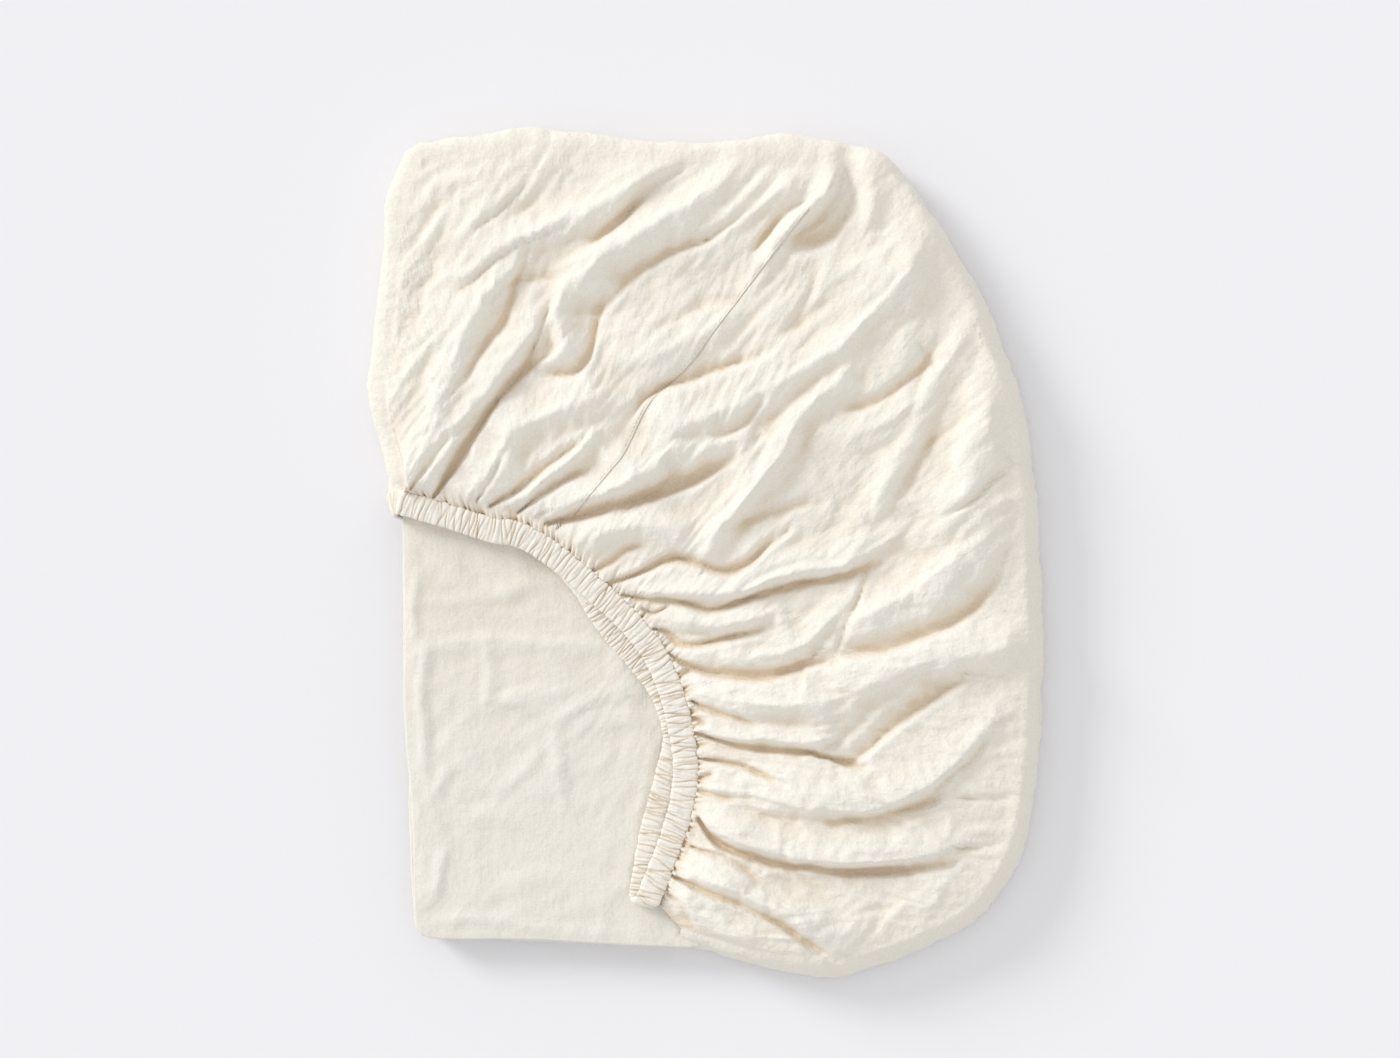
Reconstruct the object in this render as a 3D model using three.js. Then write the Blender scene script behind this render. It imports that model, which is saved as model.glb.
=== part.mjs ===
// A cot-size fitted bed sheet, folded flat, with one gathered corner pocket lying over the pile.
// Millimetres, +Z up. The pile lies on z = 0, its far edge points to +Y and its right-hand edge to +X.
// The cloth is one piece: it goes back and forth in the pile, turns back under the pocket as an inner
// skirt, and the pocket's outer skirt comes over the top from the lowest layer. The elastic casing is a
// strip sewn round the opening. It runs along the outer skirt's edge and comes back under it on the
// inner skirt's edge.
import * as THREE from "three";

// Cloth and pile
const cloth = 1.0;
const air = 0.6;
const pitch = cloth + air;
const layerCount = 10;
const topLayer = layerCount - 1;
const sewnGap = 0.5;

// Elastic casing
const casingWidth = 12.4;
const casingHalfThickness = 1.5;
const pleatDepth = 0.32;
const pleatLength = 4.4;
const scallop = 0.25;
const lowerCasingZ = 17.9;
const upperCasingZ = 22.0;

// Pocket
const outerRimInset = 6;
const pileInset = 11;
const lowestRimInset = 8;
const lowestSkirtZ = 21.0;
const crownHeight = 5.0;
const rimDrop = 1.0;
const gatherCount = 20;
const gatherDepth = 1.1;
const foldBlend = 1.1;

// How finely the cloth is divided
const skirtColumns = 78;
const skirtRows = 16;
const pileColumns = skirtColumns / 2;
const openColumns = 22;
const innerSkirtRows = 3;

const flat = (x, y) => new THREE.Vector2(x, y);

// The pocket's outline seen from above, clockwise from the casing at the left edge to the casing's tip.
const pocketOutline = new THREE.SplineCurve([
  flat(-160.5, 33.5),
  flat(-162, 46.5),
  flat(-168.2, 66.5),
  flat(-169.6, 86.5),
  flat(-166.5, 117),
  flat(-163, 147),
  flat(-161.5, 174),
  flat(-155.5, 193),
  flat(-146, 205.5),
  flat(-118, 209.5),
  flat(-81, 213.6),
  flat(-38, 208),
  flat(2, 206.5),
  flat(39, 210.5),
  flat(70, 205.5),
  flat(89, 200),
  flat(110, 176.5),
  flat(137, 134),
  flat(149, 105),
  flat(161, 69),
  flat(167, 26),
  flat(169.3, -24),
  flat(169.5, -74),
  flat(166.5, -118.5),
  flat(159, -152.5),
  flat(139, -182),
  flat(112, -198),
  flat(82, -209),
  flat(59, -213.7),
  flat(27, -208.5),
  flat(-3, -200),
  flat(-16, -197),
]);

// The pile's open edges: along the near edge, round the near left corner and up the left edge.
const openOutline = new THREE.SplineCurve([
  flat(-16, -190),
  flat(-34, -193.5),
  flat(-62, -193),
  flat(-92, -190.8),
  flat(-120, -190),
  flat(-138, -188.2),
  flat(-142.6, -185.6),
  flat(-144.2, -178),
  flat(-146, -148),
  flat(-148, -112),
  flat(-149.4, -72),
  flat(-150.4, -30),
  flat(-151, 6),
  flat(-149.5, 33.5),
]);

// Centre lines of the casing, from above: the upper run from the left edge to the tip, and the lower
// run from the tip back to the left, the second half of it hidden under the upper run.
const upperRun = new THREE.SplineCurve([
  flat(-152, 25.2),
  flat(-132, 19.5),
  flat(-108, 11.8),
  flat(-94, 9.5),
  flat(-79, 1.2),
  flat(-62.5, -12),
  flat(-38, -34.5),
  flat(-24.5, -52.5),
  flat(-16, -73.5),
  flat(-11.5, -94),
  flat(-10.2, -110),
  flat(-13, -129),
  flat(-21, -153),
  flat(-29, -173),
]);
const lowerRun = new THREE.SplineCurve([
  flat(-32.5, -172),
  flat(-29.2, -152),
  flat(-26, -136),
  flat(-19.5, -112),
  flat(-15.5, -91),
  flat(-22, -69.5),
  flat(-33.5, -53.5),
  flat(-50, -34),
  flat(-63, -14),
  flat(-82, 4),
  flat(-108, 13),
  flat(-146, 24),
]);

// The pocket's main folds. Each is a ridge along a crest of a few points, that falls off over its left
// and its right width, seen along the crest.
const ridges = [
  { crest: [[-133, 195], [-113, 201], [-96, 210]], left: 5, right: 6, height: 1.6 },
  { crest: [[-162, 126], [-156, 156], [-144, 174], [-122, 187]], left: 7, right: 10, height: 2.2 },
  { crest: [[-120, 151], [-105, 171], [-90, 187], [-77, 202]], left: 10, right: 7, height: 2 },
  { crest: [[-118, 140], [-88, 156], [-58, 167], [-38, 182], [3, 203]], left: 10, right: 8, height: 3.8 },
  { crest: [[-152, 35], [-137, 56], [-129, 79], [-113, 121], [-90, 147]], left: 10, right: 11, height: 3.6 },
  { crest: [[-138, 37], [-127, 56], [-97, 96], [-83, 111], [-77, 125]], left: 11, right: 8, height: 4.6 },
  { crest: [[-79, 94], [-69, 102], [-73, 119], [-65, 134], [-53, 145]], left: 7, right: 10, height: 4.6 },
  { crest: [[-65, 134], [-53, 145], [-28, 160], [0, 178], [22, 200]], left: 8, right: 12, height: 5 },
  { crest: [[-114, 30], [-103, 45], [-93, 61], [-58, 77], [-40, 84]], left: 13, right: 11, height: 5 },
  { crest: [[-95, 26], [-80, 37], [-65, 48], [-57, 56]], left: 6, right: 5, height: 2.8 },
  { crest: [[-53, 82], [-33, 94], [-13, 104], [7, 114], [21, 127]], left: 17, right: 12, height: 3.6 },
  { crest: [[-73, 22], [-48, 32], [-33, 41], [-15, 51], [14, 57]], left: 13, right: 11, height: 6.4 },
  { crest: [[-25, 49], [-8, 64], [17, 75], [42, 88], [64, 100]], left: 15, right: 13, height: 6.2 },
  { crest: [[64, 100], [89, 128], [106, 147], [111, 174]], left: 15, right: 14, height: 6 },
  { crest: [[8, 162], [29, 176], [49, 182]], left: 10, right: 7, height: 3.6 },
  { crest: [[32, 145], [42, 160], [54, 174], [64, 185], [64, 196]], left: 6, right: 5, height: 4.6 },
  { crest: [[81, 199], [84, 179], [81, 160]], left: 8, right: 7, height: 3.4 },
  { crest: [[0, -1], [7, 14], [36, 50], [48, 69], [66, 84], [75, 106]], left: 11, right: 10, height: 4.8 },
  { crest: [[77, 15], [88, 32], [98, 52], [104, 69]], left: 8, right: 10, height: 2.8 },
  { crest: [[62, 60], [92, 66], [108, 78], [124, 100], [140, 125]], left: 7, right: 12, height: 3.2 },
  { crest: [[144, 114], [143, 81], [139, 56], [128, 30], [114, 4]], left: 13, right: 16, height: 5.6 },
  { crest: [[143, 14], [124, -4], [104, -18], [82, -29], [64, -43]], left: 16, right: 12, height: 4.8 },
  { crest: [[122, -1], [129, 11], [143, 24], [158, 26]], left: 6, right: 10, height: 3.4 },
  { crest: [[-8, -69], [27, -74], [52, -74], [73, -69], [97, -58]], left: 13, right: 13, height: 5.8 },
  { crest: [[97, -58], [121, -51], [150, -46], [165, -44]], left: 13, right: 13, height: 5 },
  { crest: [[-26, -19], [5, -19], [37, -11], [67, -4], [88, 5]], left: 10, right: 5, height: 4 },
  { crest: [[-17, -34], [8, -35], [35, -30]], left: 7, right: 6, height: 3.4 },
  { crest: [[-12, -49], [17, -50], [42, -47], [58, -36], [78, -14]], left: 7, right: 8, height: 3.4 },
  { crest: [[-67, 4], [-43, 12], [-23, 12], [-7, 6]], left: 10, right: 9, height: 4.4 },
  { crest: [[-3, -87], [22, -92], [47, -94], [65, -87]], left: 8, right: 5, height: 3.6 },
  { crest: [[-1, -117], [37, -124], [72, -127], [100, -120], [140, -90]], left: 14, right: 7, height: 4.8 },
  { crest: [[-2, -130], [15, -142], [37, -149], [72, -152], [121, -148]], left: 14, right: 7, height: 5.8 },
  { crest: [[-8, -158], [17, -169], [42, -181], [63, -196]], left: 14, right: 7, height: 4.8 },
  { crest: [[-17, -171], [2, -186], [27, -199]], left: 6, right: 8, height: 2.4 },
];

// Deep places between the folds, in the same columns. Their heights are negative.
const hollows = [
  { crest: [[70, 194], [69, 177], [58, 161], [45, 154]], left: 8, right: 7, height: -4.5 },
  { crest: [[-33, 34], [-3, 44], [15, 52]], left: 8, right: 8, height: -2 },
  { crest: [[47, -98], [77, -96], [100, -80], [121, -65]], left: 9, right: 8, height: -3 },
  { crest: [[15, -149], [47, -158], [97, -161], [122, -156]], left: 7, right: 8, height: -2.2 },
];

// Soft swells on the pile's top layer, where it shows.
const swells = [
  { crest: [[-146, -44], [-100, -42], [-56, -46]], left: 9, right: 9, height: 0.7 },
  { crest: [[-105, -48], [-106, -80], [-112, -110]], left: 12, right: 12, height: 0.6 },
  { crest: [[-100, -132], [-76, -86], [-40, -84]], left: 10, right: 10, height: 0.6 },
];

// Height of one fold at a point: a bell across the crest, rounded off past its two ends.
function foldHeight({ crest, left, right, height }, x, y) {
  let best = { away: Infinity, side: 1 };
  for (let i = 1; i < crest.length; i += 1) {
    const [fromX, fromY] = crest[i - 1];
    const alongX = crest[i][0] - fromX;
    const alongY = crest[i][1] - fromY;
    const share = ((x - fromX) * alongX + (y - fromY) * alongY) / (alongX ** 2 + alongY ** 2);
    const near = THREE.MathUtils.clamp(share, 0, 1);
    const away = Math.hypot(x - fromX - near * alongX, y - fromY - near * alongY);
    const side = alongX * (y - fromY) - alongY * (x - fromX);
    if (away < best.away) best = { away, side };
  }
  const width = best.side > 0 ? left : right;
  return best.away < width ? height * (1 - (best.away / width) ** 2) ** 2 : 0;
}

// Ridges meet in creased valleys, as folds do, and don't pile up on each other.
function reliefAt(x, y) {
  let sum = 1;
  for (const ridge of ridges) {
    sum += Math.exp(foldHeight(ridge, x, y) / foldBlend) - 1;
  }
  let height = foldBlend * Math.log(sum);
  for (const hollow of hollows) {
    height += foldHeight(hollow, x, y);
  }
  return height;
}

function swellAt(x, y) {
  return swells.reduce((height, swell) => height + foldHeight(swell, x, y), 0);
}

// Unit vector to the left of a curve's direction. Left of the clockwise outlines is outside the pile.
function leftOf(curve, share) {
  const along = curve.getTangentAt(share);
  return flat(-along.y, along.x);
}

function offsetPoint(curve, share, distance) {
  return curve.getPointAt(share).addScaledVector(leftOf(curve, share), distance);
}

const above = (point, z) => new THREE.Vector3(point.x, point.y, z);

// Collects points in rows, and the faces between them. Rows run clockwise seen from above, and their
// faces point outwards when rows follow each other over the top, round the rim and back underneath.
class Skin {
  constructor() {
    this.points = [];
    this.faces = [];
  }

  add(point) {
    this.points.push(point.x, point.y, point.z);
    return this.points.length / 3 - 1;
  }

  row(points) {
    return points.map((point) => this.add(point));
  }

  closedRow(points) {
    const row = this.row(points);
    return [...row, row[0]];
  }

  quad(a, b, c, d) {
    this.faces.push(a, b, c, a, c, d);
  }

  band(before, after, from = 0, to = before.length - 1) {
    for (let i = from; i < to; i += 1) {
      this.quad(before[i], before[i + 1], after[i + 1], after[i]);
    }
  }

  bands(rows) {
    for (let j = 1; j < rows.length; j += 1) {
      this.band(rows[j - 1], rows[j]);
    }
  }

  // The same as bands, but cut along the other diagonals. The cloth's under side uses it, where rows
  // come in the opposite order, so that its faces lie parallel to those of the upper side.
  underBands(rows) {
    for (let j = 1; j < rows.length; j += 1) {
      const [before, after] = [rows[j - 1], rows[j]];
      for (let i = 1; i < before.length; i += 1) {
        this.quad(before[i], after[i], after[i - 1], before[i - 1]);
      }
    }
  }

  // Faces from one corner to each stretch of a line of points.
  fan(corner, line, reversed) {
    for (let i = 1; i < line.length; i += 1) {
      const [first, second] = reversed ? [line[i], line[i - 1]] : [line[i - 1], line[i]];
      this.faces.push(corner, first, second);
    }
  }

  // Closes the end of a strip between the outer and the inner side of its cloth.
  endStrip(outer, inner, atEnd) {
    for (let i = 1; i < outer.length; i += 1) {
      const corners = [outer[i - 1], inner[i - 1], inner[i], outer[i]];
      this.quad(...(atEnd ? corners : corners.reverse()));
    }
  }

  geometry() {
    return new THREE.BufferGeometry()
      .setAttribute("position", new THREE.Float32BufferAttribute(this.points, 3))
      .setIndex(this.faces);
  }
}

function layerZ(layer) {
  return cloth / 2 + pitch * layer;
}

// The edge of one layer of the pile: the covered columns first, and the open ones after them. Each
// pair of layers ends a little further in or out along its open edge.
function layerEdge(layer) {
  const covered = layer === 0 ? skirtColumns : pileColumns;
  const inset = layer === 0 ? lowestRimInset : pileInset;
  const points = [];
  for (let i = 0; i <= covered; i += 1) {
    points.push(offsetPoint(pocketOutline, i / covered, -inset));
  }
  const uneven = 0.9;
  const pair = Math.floor(layer / 2);
  for (let i = 1; i < openColumns; i += 1) {
    const share = i / openColumns;
    const along = openOutline.getTangent(share);
    const shift = uneven * Math.sin(1.7 * pair + 0.9 * i) * Math.sin(Math.PI * share) ** 0.5;
    points.push(openOutline.getPoint(share).addScaledVector(flat(-along.y, along.x), shift));
  }
  return { covered, points };
}

function addLayer(skin, layer) {
  const { covered, points } = layerEdge(layer);
  const z = layerZ(layer);
  const shows = layer === topLayer;
  const ringShares = shows ? [0.3, 0.6, 0.82] : [];
  const centre = flat(0, -10);
  const surface = (lift, facesUp) => {
    const rings = ringShares.map((share) =>
      skin.closedRow(
        points.map((point) => {
          const at = centre.clone().lerp(point, share);
          return above(at, z + lift + swellAt(at.x, at.y));
        }),
      ),
    );
    const rim = skin.closedRow(points.map((point) => above(point, z + lift)));
    const rows = [...rings, rim];
    skin.fan(skin.add(above(centre, z + lift)), rows[0], facesUp);
    if (facesUp) skin.bands(rows);
    else skin.underBands(rows.toReversed());
    return rim;
  };
  return { covered, points, z, top: surface(cloth / 2, true), bottom: surface(-cloth / 2, false) };
}

// Direction out of the pile at one point of a layer's edge.
function outwards(points, index) {
  const count = points.length;
  const before = points[(index - 1 + count) % count];
  const after = points[(index + 1) % count];
  return flat(before.y - after.y, after.x - before.x).normalize();
}

// The bend that joins an upper to a lower layer over some columns of their edges.
function addBend(skin, upper, lower, count, upperFrom, lowerFrom) {
  const middle = (upper.z + lower.z) / 2;
  const radius = (upper.z - lower.z + cloth) / 2;
  const bendRow = (angle) => {
    const points = [];
    for (let i = 0; i <= count; i += 1) {
      const high = upper.points[(upperFrom + i) % upper.points.length];
      const index = (lowerFrom + i) % lower.points.length;
      const at = lower.points[index].clone().lerp(high, (1 + Math.sin(angle)) / 2);
      at.addScaledVector(outwards(lower.points, index), radius * Math.cos(angle));
      points.push(above(at, middle + radius * Math.sin(angle)));
    }
    return skin.row(points);
  };
  const cut = (row, from) => row.slice(from, from + count + 1);
  const outer = [cut(upper.top, upperFrom), bendRow(0.7), bendRow(-0.7), cut(lower.bottom, lowerFrom)];
  const inner = [cut(lower.top, lowerFrom), cut(upper.bottom, upperFrom)];
  skin.bands(outer);
  skin.bands(inner);
  for (const column of [0, count]) {
    const [top, high, low, bottom] = outer.map((row) => row[column]);
    const [lowerTop, upperBottom] = inner.map((row) => row[column]);
    skin.fan(high, [low, bottom, lowerTop, upperBottom, top], column === count);
  }
}

// A skirt: a strip of cloth from its gathered mouth to its rim, with its two sides in rows.
function addSkirt(skin, columns, rows, pointAt) {
  const side = (lift) => {
    const made = [];
    for (let j = 0; j <= rows; j += 1) {
      const points = [];
      for (let i = 0; i <= columns; i += 1) {
        const point = pointAt(i / columns, j / rows);
        point.z += lift;
        points.push(point);
      }
      made.push(skin.row(points));
    }
    return made;
  };
  const top = side(cloth / 2);
  const bottom = side(-cloth / 2);
  skin.bands(top);
  skin.underBands(bottom.toReversed());
  skin.band(bottom[0], top[0]);
  return { top, bottom };
}

function closeEnds(skin, top, bottom) {
  for (const atEnd of [false, true]) {
    const column = atEnd ? top[0].length - 1 : 0;
    const pick = (rows) => rows.map((row) => row[column]);
    skin.endStrip(pick(top), pick(bottom), atEnd);
  }
}

const mouthOffset = casingWidth / 2 + scallop + sewnGap;

// A point of the outer skirt's middle surface: across is the share of the way round the mouth, and
// down the share of the way from the mouth to the rim.
function outerSkirtPoint(across, down) {
  const mouth = offsetPoint(upperRun, across, mouthOffset);
  const rim = offsetPoint(pocketOutline, across, -outerRimInset);
  const spread = down ** 1.2;
  const at = mouth.lerp(rim, spread);
  const crown = crownHeight * Math.sin(Math.PI * spread ** 0.75) ** 0.8;
  const gathers = gatherDepth * Math.sin(2 * Math.PI * gatherCount * across) * Math.exp(-spread / 0.14);
  const fromMouth = THREE.MathUtils.smoothstep(spread, 0, 0.1);
  const toRim = 1 - 0.55 * THREE.MathUtils.smoothstep(spread, 0.88, 1);
  const relief = fromMouth * toRim * reliefAt(at.x, at.y);
  return above(at, Math.max(upperCasingZ + crown + gathers + relief - rimDrop * spread, lowestSkirtZ));
}

function innerSkirtPoint(across, down) {
  const mouth = offsetPoint(lowerRun, 1 - across, -mouthOffset);
  const rim = offsetPoint(pocketOutline, across, -pileInset);
  return above(mouth.lerp(rim, down), lowerCasingZ);
}

// The outer skirt bends round the pile's edge. Each row is an inset from the outline and a share of
// the rim's height.
const wallProfile = [
  { inset: 2.6, share: 0.86 },
  { inset: 0.7, share: 0.58 },
  { inset: 1.0, share: 0.3 },
  { inset: 4.0, share: 0.08 },
];

function addWall(skin, outer, lowest) {
  const path = (column) => {
    const rim = outerSkirtPoint(column / skirtColumns, 1).z;
    return [
      { inset: outerRimInset, z: rim },
      ...wallProfile.map(({ inset, share }) => ({ inset, z: share * rim + cloth / 2 })),
      { inset: lowestRimInset, z: layerZ(0) },
    ];
  };
  const wallRow = (step, side) => {
    const points = [];
    for (let i = 0; i <= skirtColumns; i += 1) {
      const [before, here, after] = path(i).slice(step - 1, step + 2);
      const out = flat(before.z - after.z, after.inset - before.inset).normalize();
      const shift = (side * cloth) / 2;
      const at = offsetPoint(pocketOutline, i / skirtColumns, shift * out.x - here.inset);
      points.push(above(at, here.z - shift * out.y));
    }
    return skin.row(points);
  };
  const steps = wallProfile.map((_, index) => index + 1);
  const cut = (row) => row.slice(0, skirtColumns + 1);
  const outside = [...steps.map((step) => wallRow(step, 1)), cut(lowest.bottom)];
  const inside = [...steps.map((step) => wallRow(step, -1)), cut(lowest.top)];
  skin.bands([outer.top.at(-1), ...outside]);
  skin.underBands([...inside.toReversed(), outer.bottom.at(-1)]);
  return { outside, inside };
}

function sheetGeometry() {
  const skin = new Skin();
  const layers = [];
  for (let layer = 0; layer < layerCount; layer += 1) {
    layers.push(addLayer(skin, layer));
  }
  const openBend = openColumns - 2;
  const freeColumns = 4;
  const coveredBend = pileColumns - 2 * freeColumns;
  const coveredEnd = freeColumns + coveredBend;
  layers.forEach((lower, index) => {
    const upper = layers[index + 1];
    if (upper && index % 2 === 0) {
      addBend(skin, upper, lower, openBend, upper.covered + 1, lower.covered + 1);
    }
    if (upper && index % 2 === 1) {
      addBend(skin, upper, lower, coveredBend, freeColumns, freeColumns);
    }
    // The cloth's free edges are the columns on either side of each bend.
    const last = lower.points.length;
    skin.band(lower.top, lower.bottom, lower.covered, lower.covered + 1);
    skin.band(lower.top, lower.bottom, last - 1, last);
    if (index > 0) {
      skin.band(lower.top, lower.bottom, 0, freeColumns);
      skin.band(lower.top, lower.bottom, coveredEnd, lower.covered);
    }
  });

  const inner = addSkirt(skin, pileColumns, innerSkirtRows, innerSkirtPoint);
  const innerRim = {
    points: layers[topLayer].points.slice(0, pileColumns + 1),
    z: lowerCasingZ,
    top: inner.top.at(-1),
    bottom: inner.bottom.at(-1),
  };
  addBend(skin, innerRim, layers[topLayer], coveredBend, freeColumns, freeColumns);
  skin.band(innerRim.top, innerRim.bottom, 0, freeColumns);
  skin.band(innerRim.top, innerRim.bottom, coveredEnd, pileColumns);
  closeEnds(skin, inner.top, inner.bottom);

  const outer = addSkirt(skin, skirtColumns, skirtRows, outerSkirtPoint);
  const wall = addWall(skin, outer, layers[0]);
  closeEnds(skin, [...outer.top, ...wall.outside], [...outer.bottom, ...wall.inside]);
  return skin.geometry();
}

// The casing's stations: a centre, the direction across the strip, and whether pleats show there.
function casingStations() {
  const stations = [];
  const put = (centre, across, pleated) => stations.push({ centre, across: above(across, 0), pleated });
  const downTheSide = [
    { x: -157.4, z: 3.4 },
    { x: -159.5, z: 9 },
    { x: -159.3, z: 15 },
    { x: -157, z: 19.6 },
  ];
  const sideY = 26.2;
  downTheSide.forEach(({ x, z }) => put(new THREE.Vector3(x, sideY, z), flat(0, 1), false));

  const upperSteps = Math.round((2 * upperRun.getLength()) / pleatLength);
  for (let i = 0; i <= upperSteps; i += 1) {
    const share = i / upperSteps;
    put(above(upperRun.getPointAt(share), upperCasingZ), leftOf(upperRun, share), i > 0 && i < upperSteps - 1);
  }

  const turnSteps = 6;
  const radius = (upperCasingZ - lowerCasingZ) / 2;
  const heading = upperRun.getTangentAt(1);
  for (let i = 1; i < turnSteps; i += 1) {
    const share = i / turnSteps;
    const angle = Math.PI * (0.5 - share);
    const at = upperRun.getPointAt(1).lerp(lowerRun.getPointAt(0), share);
    at.addScaledVector(heading, radius * Math.cos(angle));
    const across = leftOf(upperRun, 1).lerp(leftOf(lowerRun, 0).negate(), share).normalize();
    put(above(at, lowerCasingZ + radius * (1 + Math.sin(angle))), across, false);
  }

  const shownShare = 0.56;
  const shownSteps = Math.round((2 * shownShare * lowerRun.getLength()) / pleatLength);
  const hiddenSteps = 9;
  for (let i = 0; i <= shownSteps + hiddenSteps; i += 1) {
    const hidden = Math.max(i - shownSteps, 0) / hiddenSteps;
    const share = (shownShare * Math.min(i, shownSteps)) / shownSteps + (1 - shownShare) * hidden;
    const across = leftOf(lowerRun, share).negate();
    put(above(lowerRun.getPointAt(share), lowerCasingZ), across, i > 1 && i < shownSteps);
  }
  return stations;
}

function casingGeometry() {
  const skin = new Skin();
  const stations = casingStations();
  const section = [
    { across: 1, up: 0 },
    { across: 0.78, up: 0.92 },
    { across: 0, up: 1 },
    { across: -0.78, up: 0.92 },
    { across: -1, up: 0 },
    { across: -0.78, up: -0.92 },
    { across: 0, up: -1 },
    { across: 0.78, up: -0.92 },
  ];
  const rows = stations.map(({ centre, across, pleated }, index) => {
    const before = stations[Math.max(index - 1, 0)].centre;
    const after = stations[Math.min(index + 1, stations.length - 1)].centre;
    const up = after.clone().sub(before).cross(across).normalize();
    const ridge = index % 2 === 0 ? 1 : -1;
    const thickness = casingHalfThickness + (pleated ? ridge : -1) * pleatDepth;
    const width = casingWidth / 2 + (pleated ? ridge : 0) * scallop;
    const points = section.map((corner) =>
      centre
        .clone()
        .addScaledVector(across, width * corner.across)
        .addScaledVector(up, thickness * corner.up),
    );
    return skin.closedRow(points);
  });
  skin.bands(rows);
  skin.fan(skin.add(stations[0].centre), rows[0], true);
  skin.fan(skin.add(stations.at(-1).centre), rows.at(-1), false);
  return skin.geometry();
}

function clothMaterial(colour) {
  return new THREE.MeshStandardMaterial({ color: colour, roughness: 0.92, metalness: 0 });
}

const foldedSheet = new THREE.Group();

const sheet = new THREE.Mesh(sheetGeometry(), clothMaterial("#f1ebdf"));
sheet.name = "sheet";
foldedSheet.add(sheet);

const casing = new THREE.Mesh(casingGeometry(), clothMaterial("#f3eee3"));
casing.name = "elastic_casing";
foldedSheet.add(casing);

export default foldedSheet;
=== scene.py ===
import math
from functools import partial

import bmesh
import bpy
import numpy as np
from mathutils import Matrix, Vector
from mathutils.bvhtree import BVHTree


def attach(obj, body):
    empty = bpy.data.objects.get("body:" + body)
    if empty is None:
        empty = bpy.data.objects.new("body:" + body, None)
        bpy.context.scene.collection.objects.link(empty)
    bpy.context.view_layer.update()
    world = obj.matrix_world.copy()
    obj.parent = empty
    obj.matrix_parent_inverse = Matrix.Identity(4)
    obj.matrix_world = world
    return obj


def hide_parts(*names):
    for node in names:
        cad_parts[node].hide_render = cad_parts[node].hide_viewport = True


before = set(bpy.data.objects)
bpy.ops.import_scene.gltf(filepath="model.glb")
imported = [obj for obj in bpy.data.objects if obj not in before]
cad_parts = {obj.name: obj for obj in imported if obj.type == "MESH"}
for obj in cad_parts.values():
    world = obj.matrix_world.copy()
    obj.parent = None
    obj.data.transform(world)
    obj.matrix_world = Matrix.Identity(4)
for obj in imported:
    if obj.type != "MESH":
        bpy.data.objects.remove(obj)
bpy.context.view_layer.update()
print("frame loaded")

# All sizes below are in millimetres, as on the work bench, and turned into metres when a mesh is placed.
metres = 0.001

cloth = {
    "layers": 10,
    "pitch": 1.6,           # from one layer of the pile to the next
    "lowestZ": 0.5,
    "pileInset": 11,        # the pile's covered edge, inside the pocket's outline
    "lowestInset": 8,
    "columns": 250,
    "openFrom": 105,        # the column where the pile's edges come out of the pocket
    "coveredBends": (12, 92),
    "panelRings": 50,
    "centre": (0, -10),
    "sway": 0.9,            # how far the layers' open edges stray
    "swayNoise": 0.8,
    # the painted shade of pieces that measure no hollows of their own
    "shade": 0.3,
    "wrinkled": 0.55,       # how strong the small creases are on the pile
    "bulge": 1.5,           # how far a bend stands out, in its radius
}

pocket = {
    "columns": 600,
    "rows": 104,
    "rimInset": 10,         # from the outline to where the top turns down into the wall
    "mouthOffset": 5.9,     # from the casing's middle to where the skirt starts
    "casingZ": 22.0,
    "lowestZ": 20.2,
    "crown": 5.8,           # how far the pocket puffs up
    "lift": 1.6,            # of the drawn ridges
    "litSide": 1.6,         # how much wider the folds fall off towards the left than drawn
    "shadySide": 1.2,
    "foldBlend": 1.05,      # how softly the ridges run into each other
    "sharpness": 0.65,      # 0 gives round folds, 1 pinched ones
    "wander": 2.2,          # how far a crest strays from its drawn line
    "hollowDepth": 1.3,
    "valleyDepth": 1.75,
    "swell": 1.1,           # broad random rise and fall
    "crinkle": 0.45,
    "runningCrinkle": 1.0,
    "fineCrinkle": 0.4,
    "backWay": 52,          # of the running crinkles, in degrees
    "frontWay": -6,
    "rimDrop": 1.0,
    "fall": 0.55,           # the share of the crown lost towards the rim
    "litFall": 0.95,        # the same at the left, where the pocket slopes down early towards the light
    "endFrom": 0.945,       # the share of the mouth past which the pocket lies down on the panel
    "endZ": 16.6,
    "laid": (0.62, 0.19, 0),  # its length and depth in metres, for the creases in the material
}

# Painted shade in the pocket's hollows: a point is compared with the mean height of two patches round it,
# and the lower it lies, the darker and warmer it is painted.
shading = {
    "plain": 0.27,
    "broadReach": 14,
    "broadDepth": 8,
    "nearReach": 6,
    "nearDepth": 10,
    # painted shade in the gathers' pits next to the casing, and in the deep valleys further out
    "gather": 0.4,
    "deepGather": 0.09,
}

casing = {
    "width": 12.4,
    "halfThickness": 1.5,
    "lowerZ": 17.9,
    "upperZ": 22.0,
    "shownShare": 0.56,     # of the lower run, before it goes under the upper one
    "step": 0.34,           # from one ring of its mesh to the next
    "around": 28,
    "tipRings": 24,
    "tipLength": 8,
    "endAcross": (-0.45, 0.89),  # the way across the end that hangs down at the left
    "pleatShortest": 1.0,
    "pleatLongest": 3.1,
    "groove": 0.8,
    "grooveWidth": 0.3,
    "puff": 0.42,           # of the cloth between two pleats
    # painted shade of the casing, deepest in its pleats' grooves
    "shade": 0.12,
    "grooveShade": 1.6,
    "shadeWidth": 0.4,
}

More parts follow.
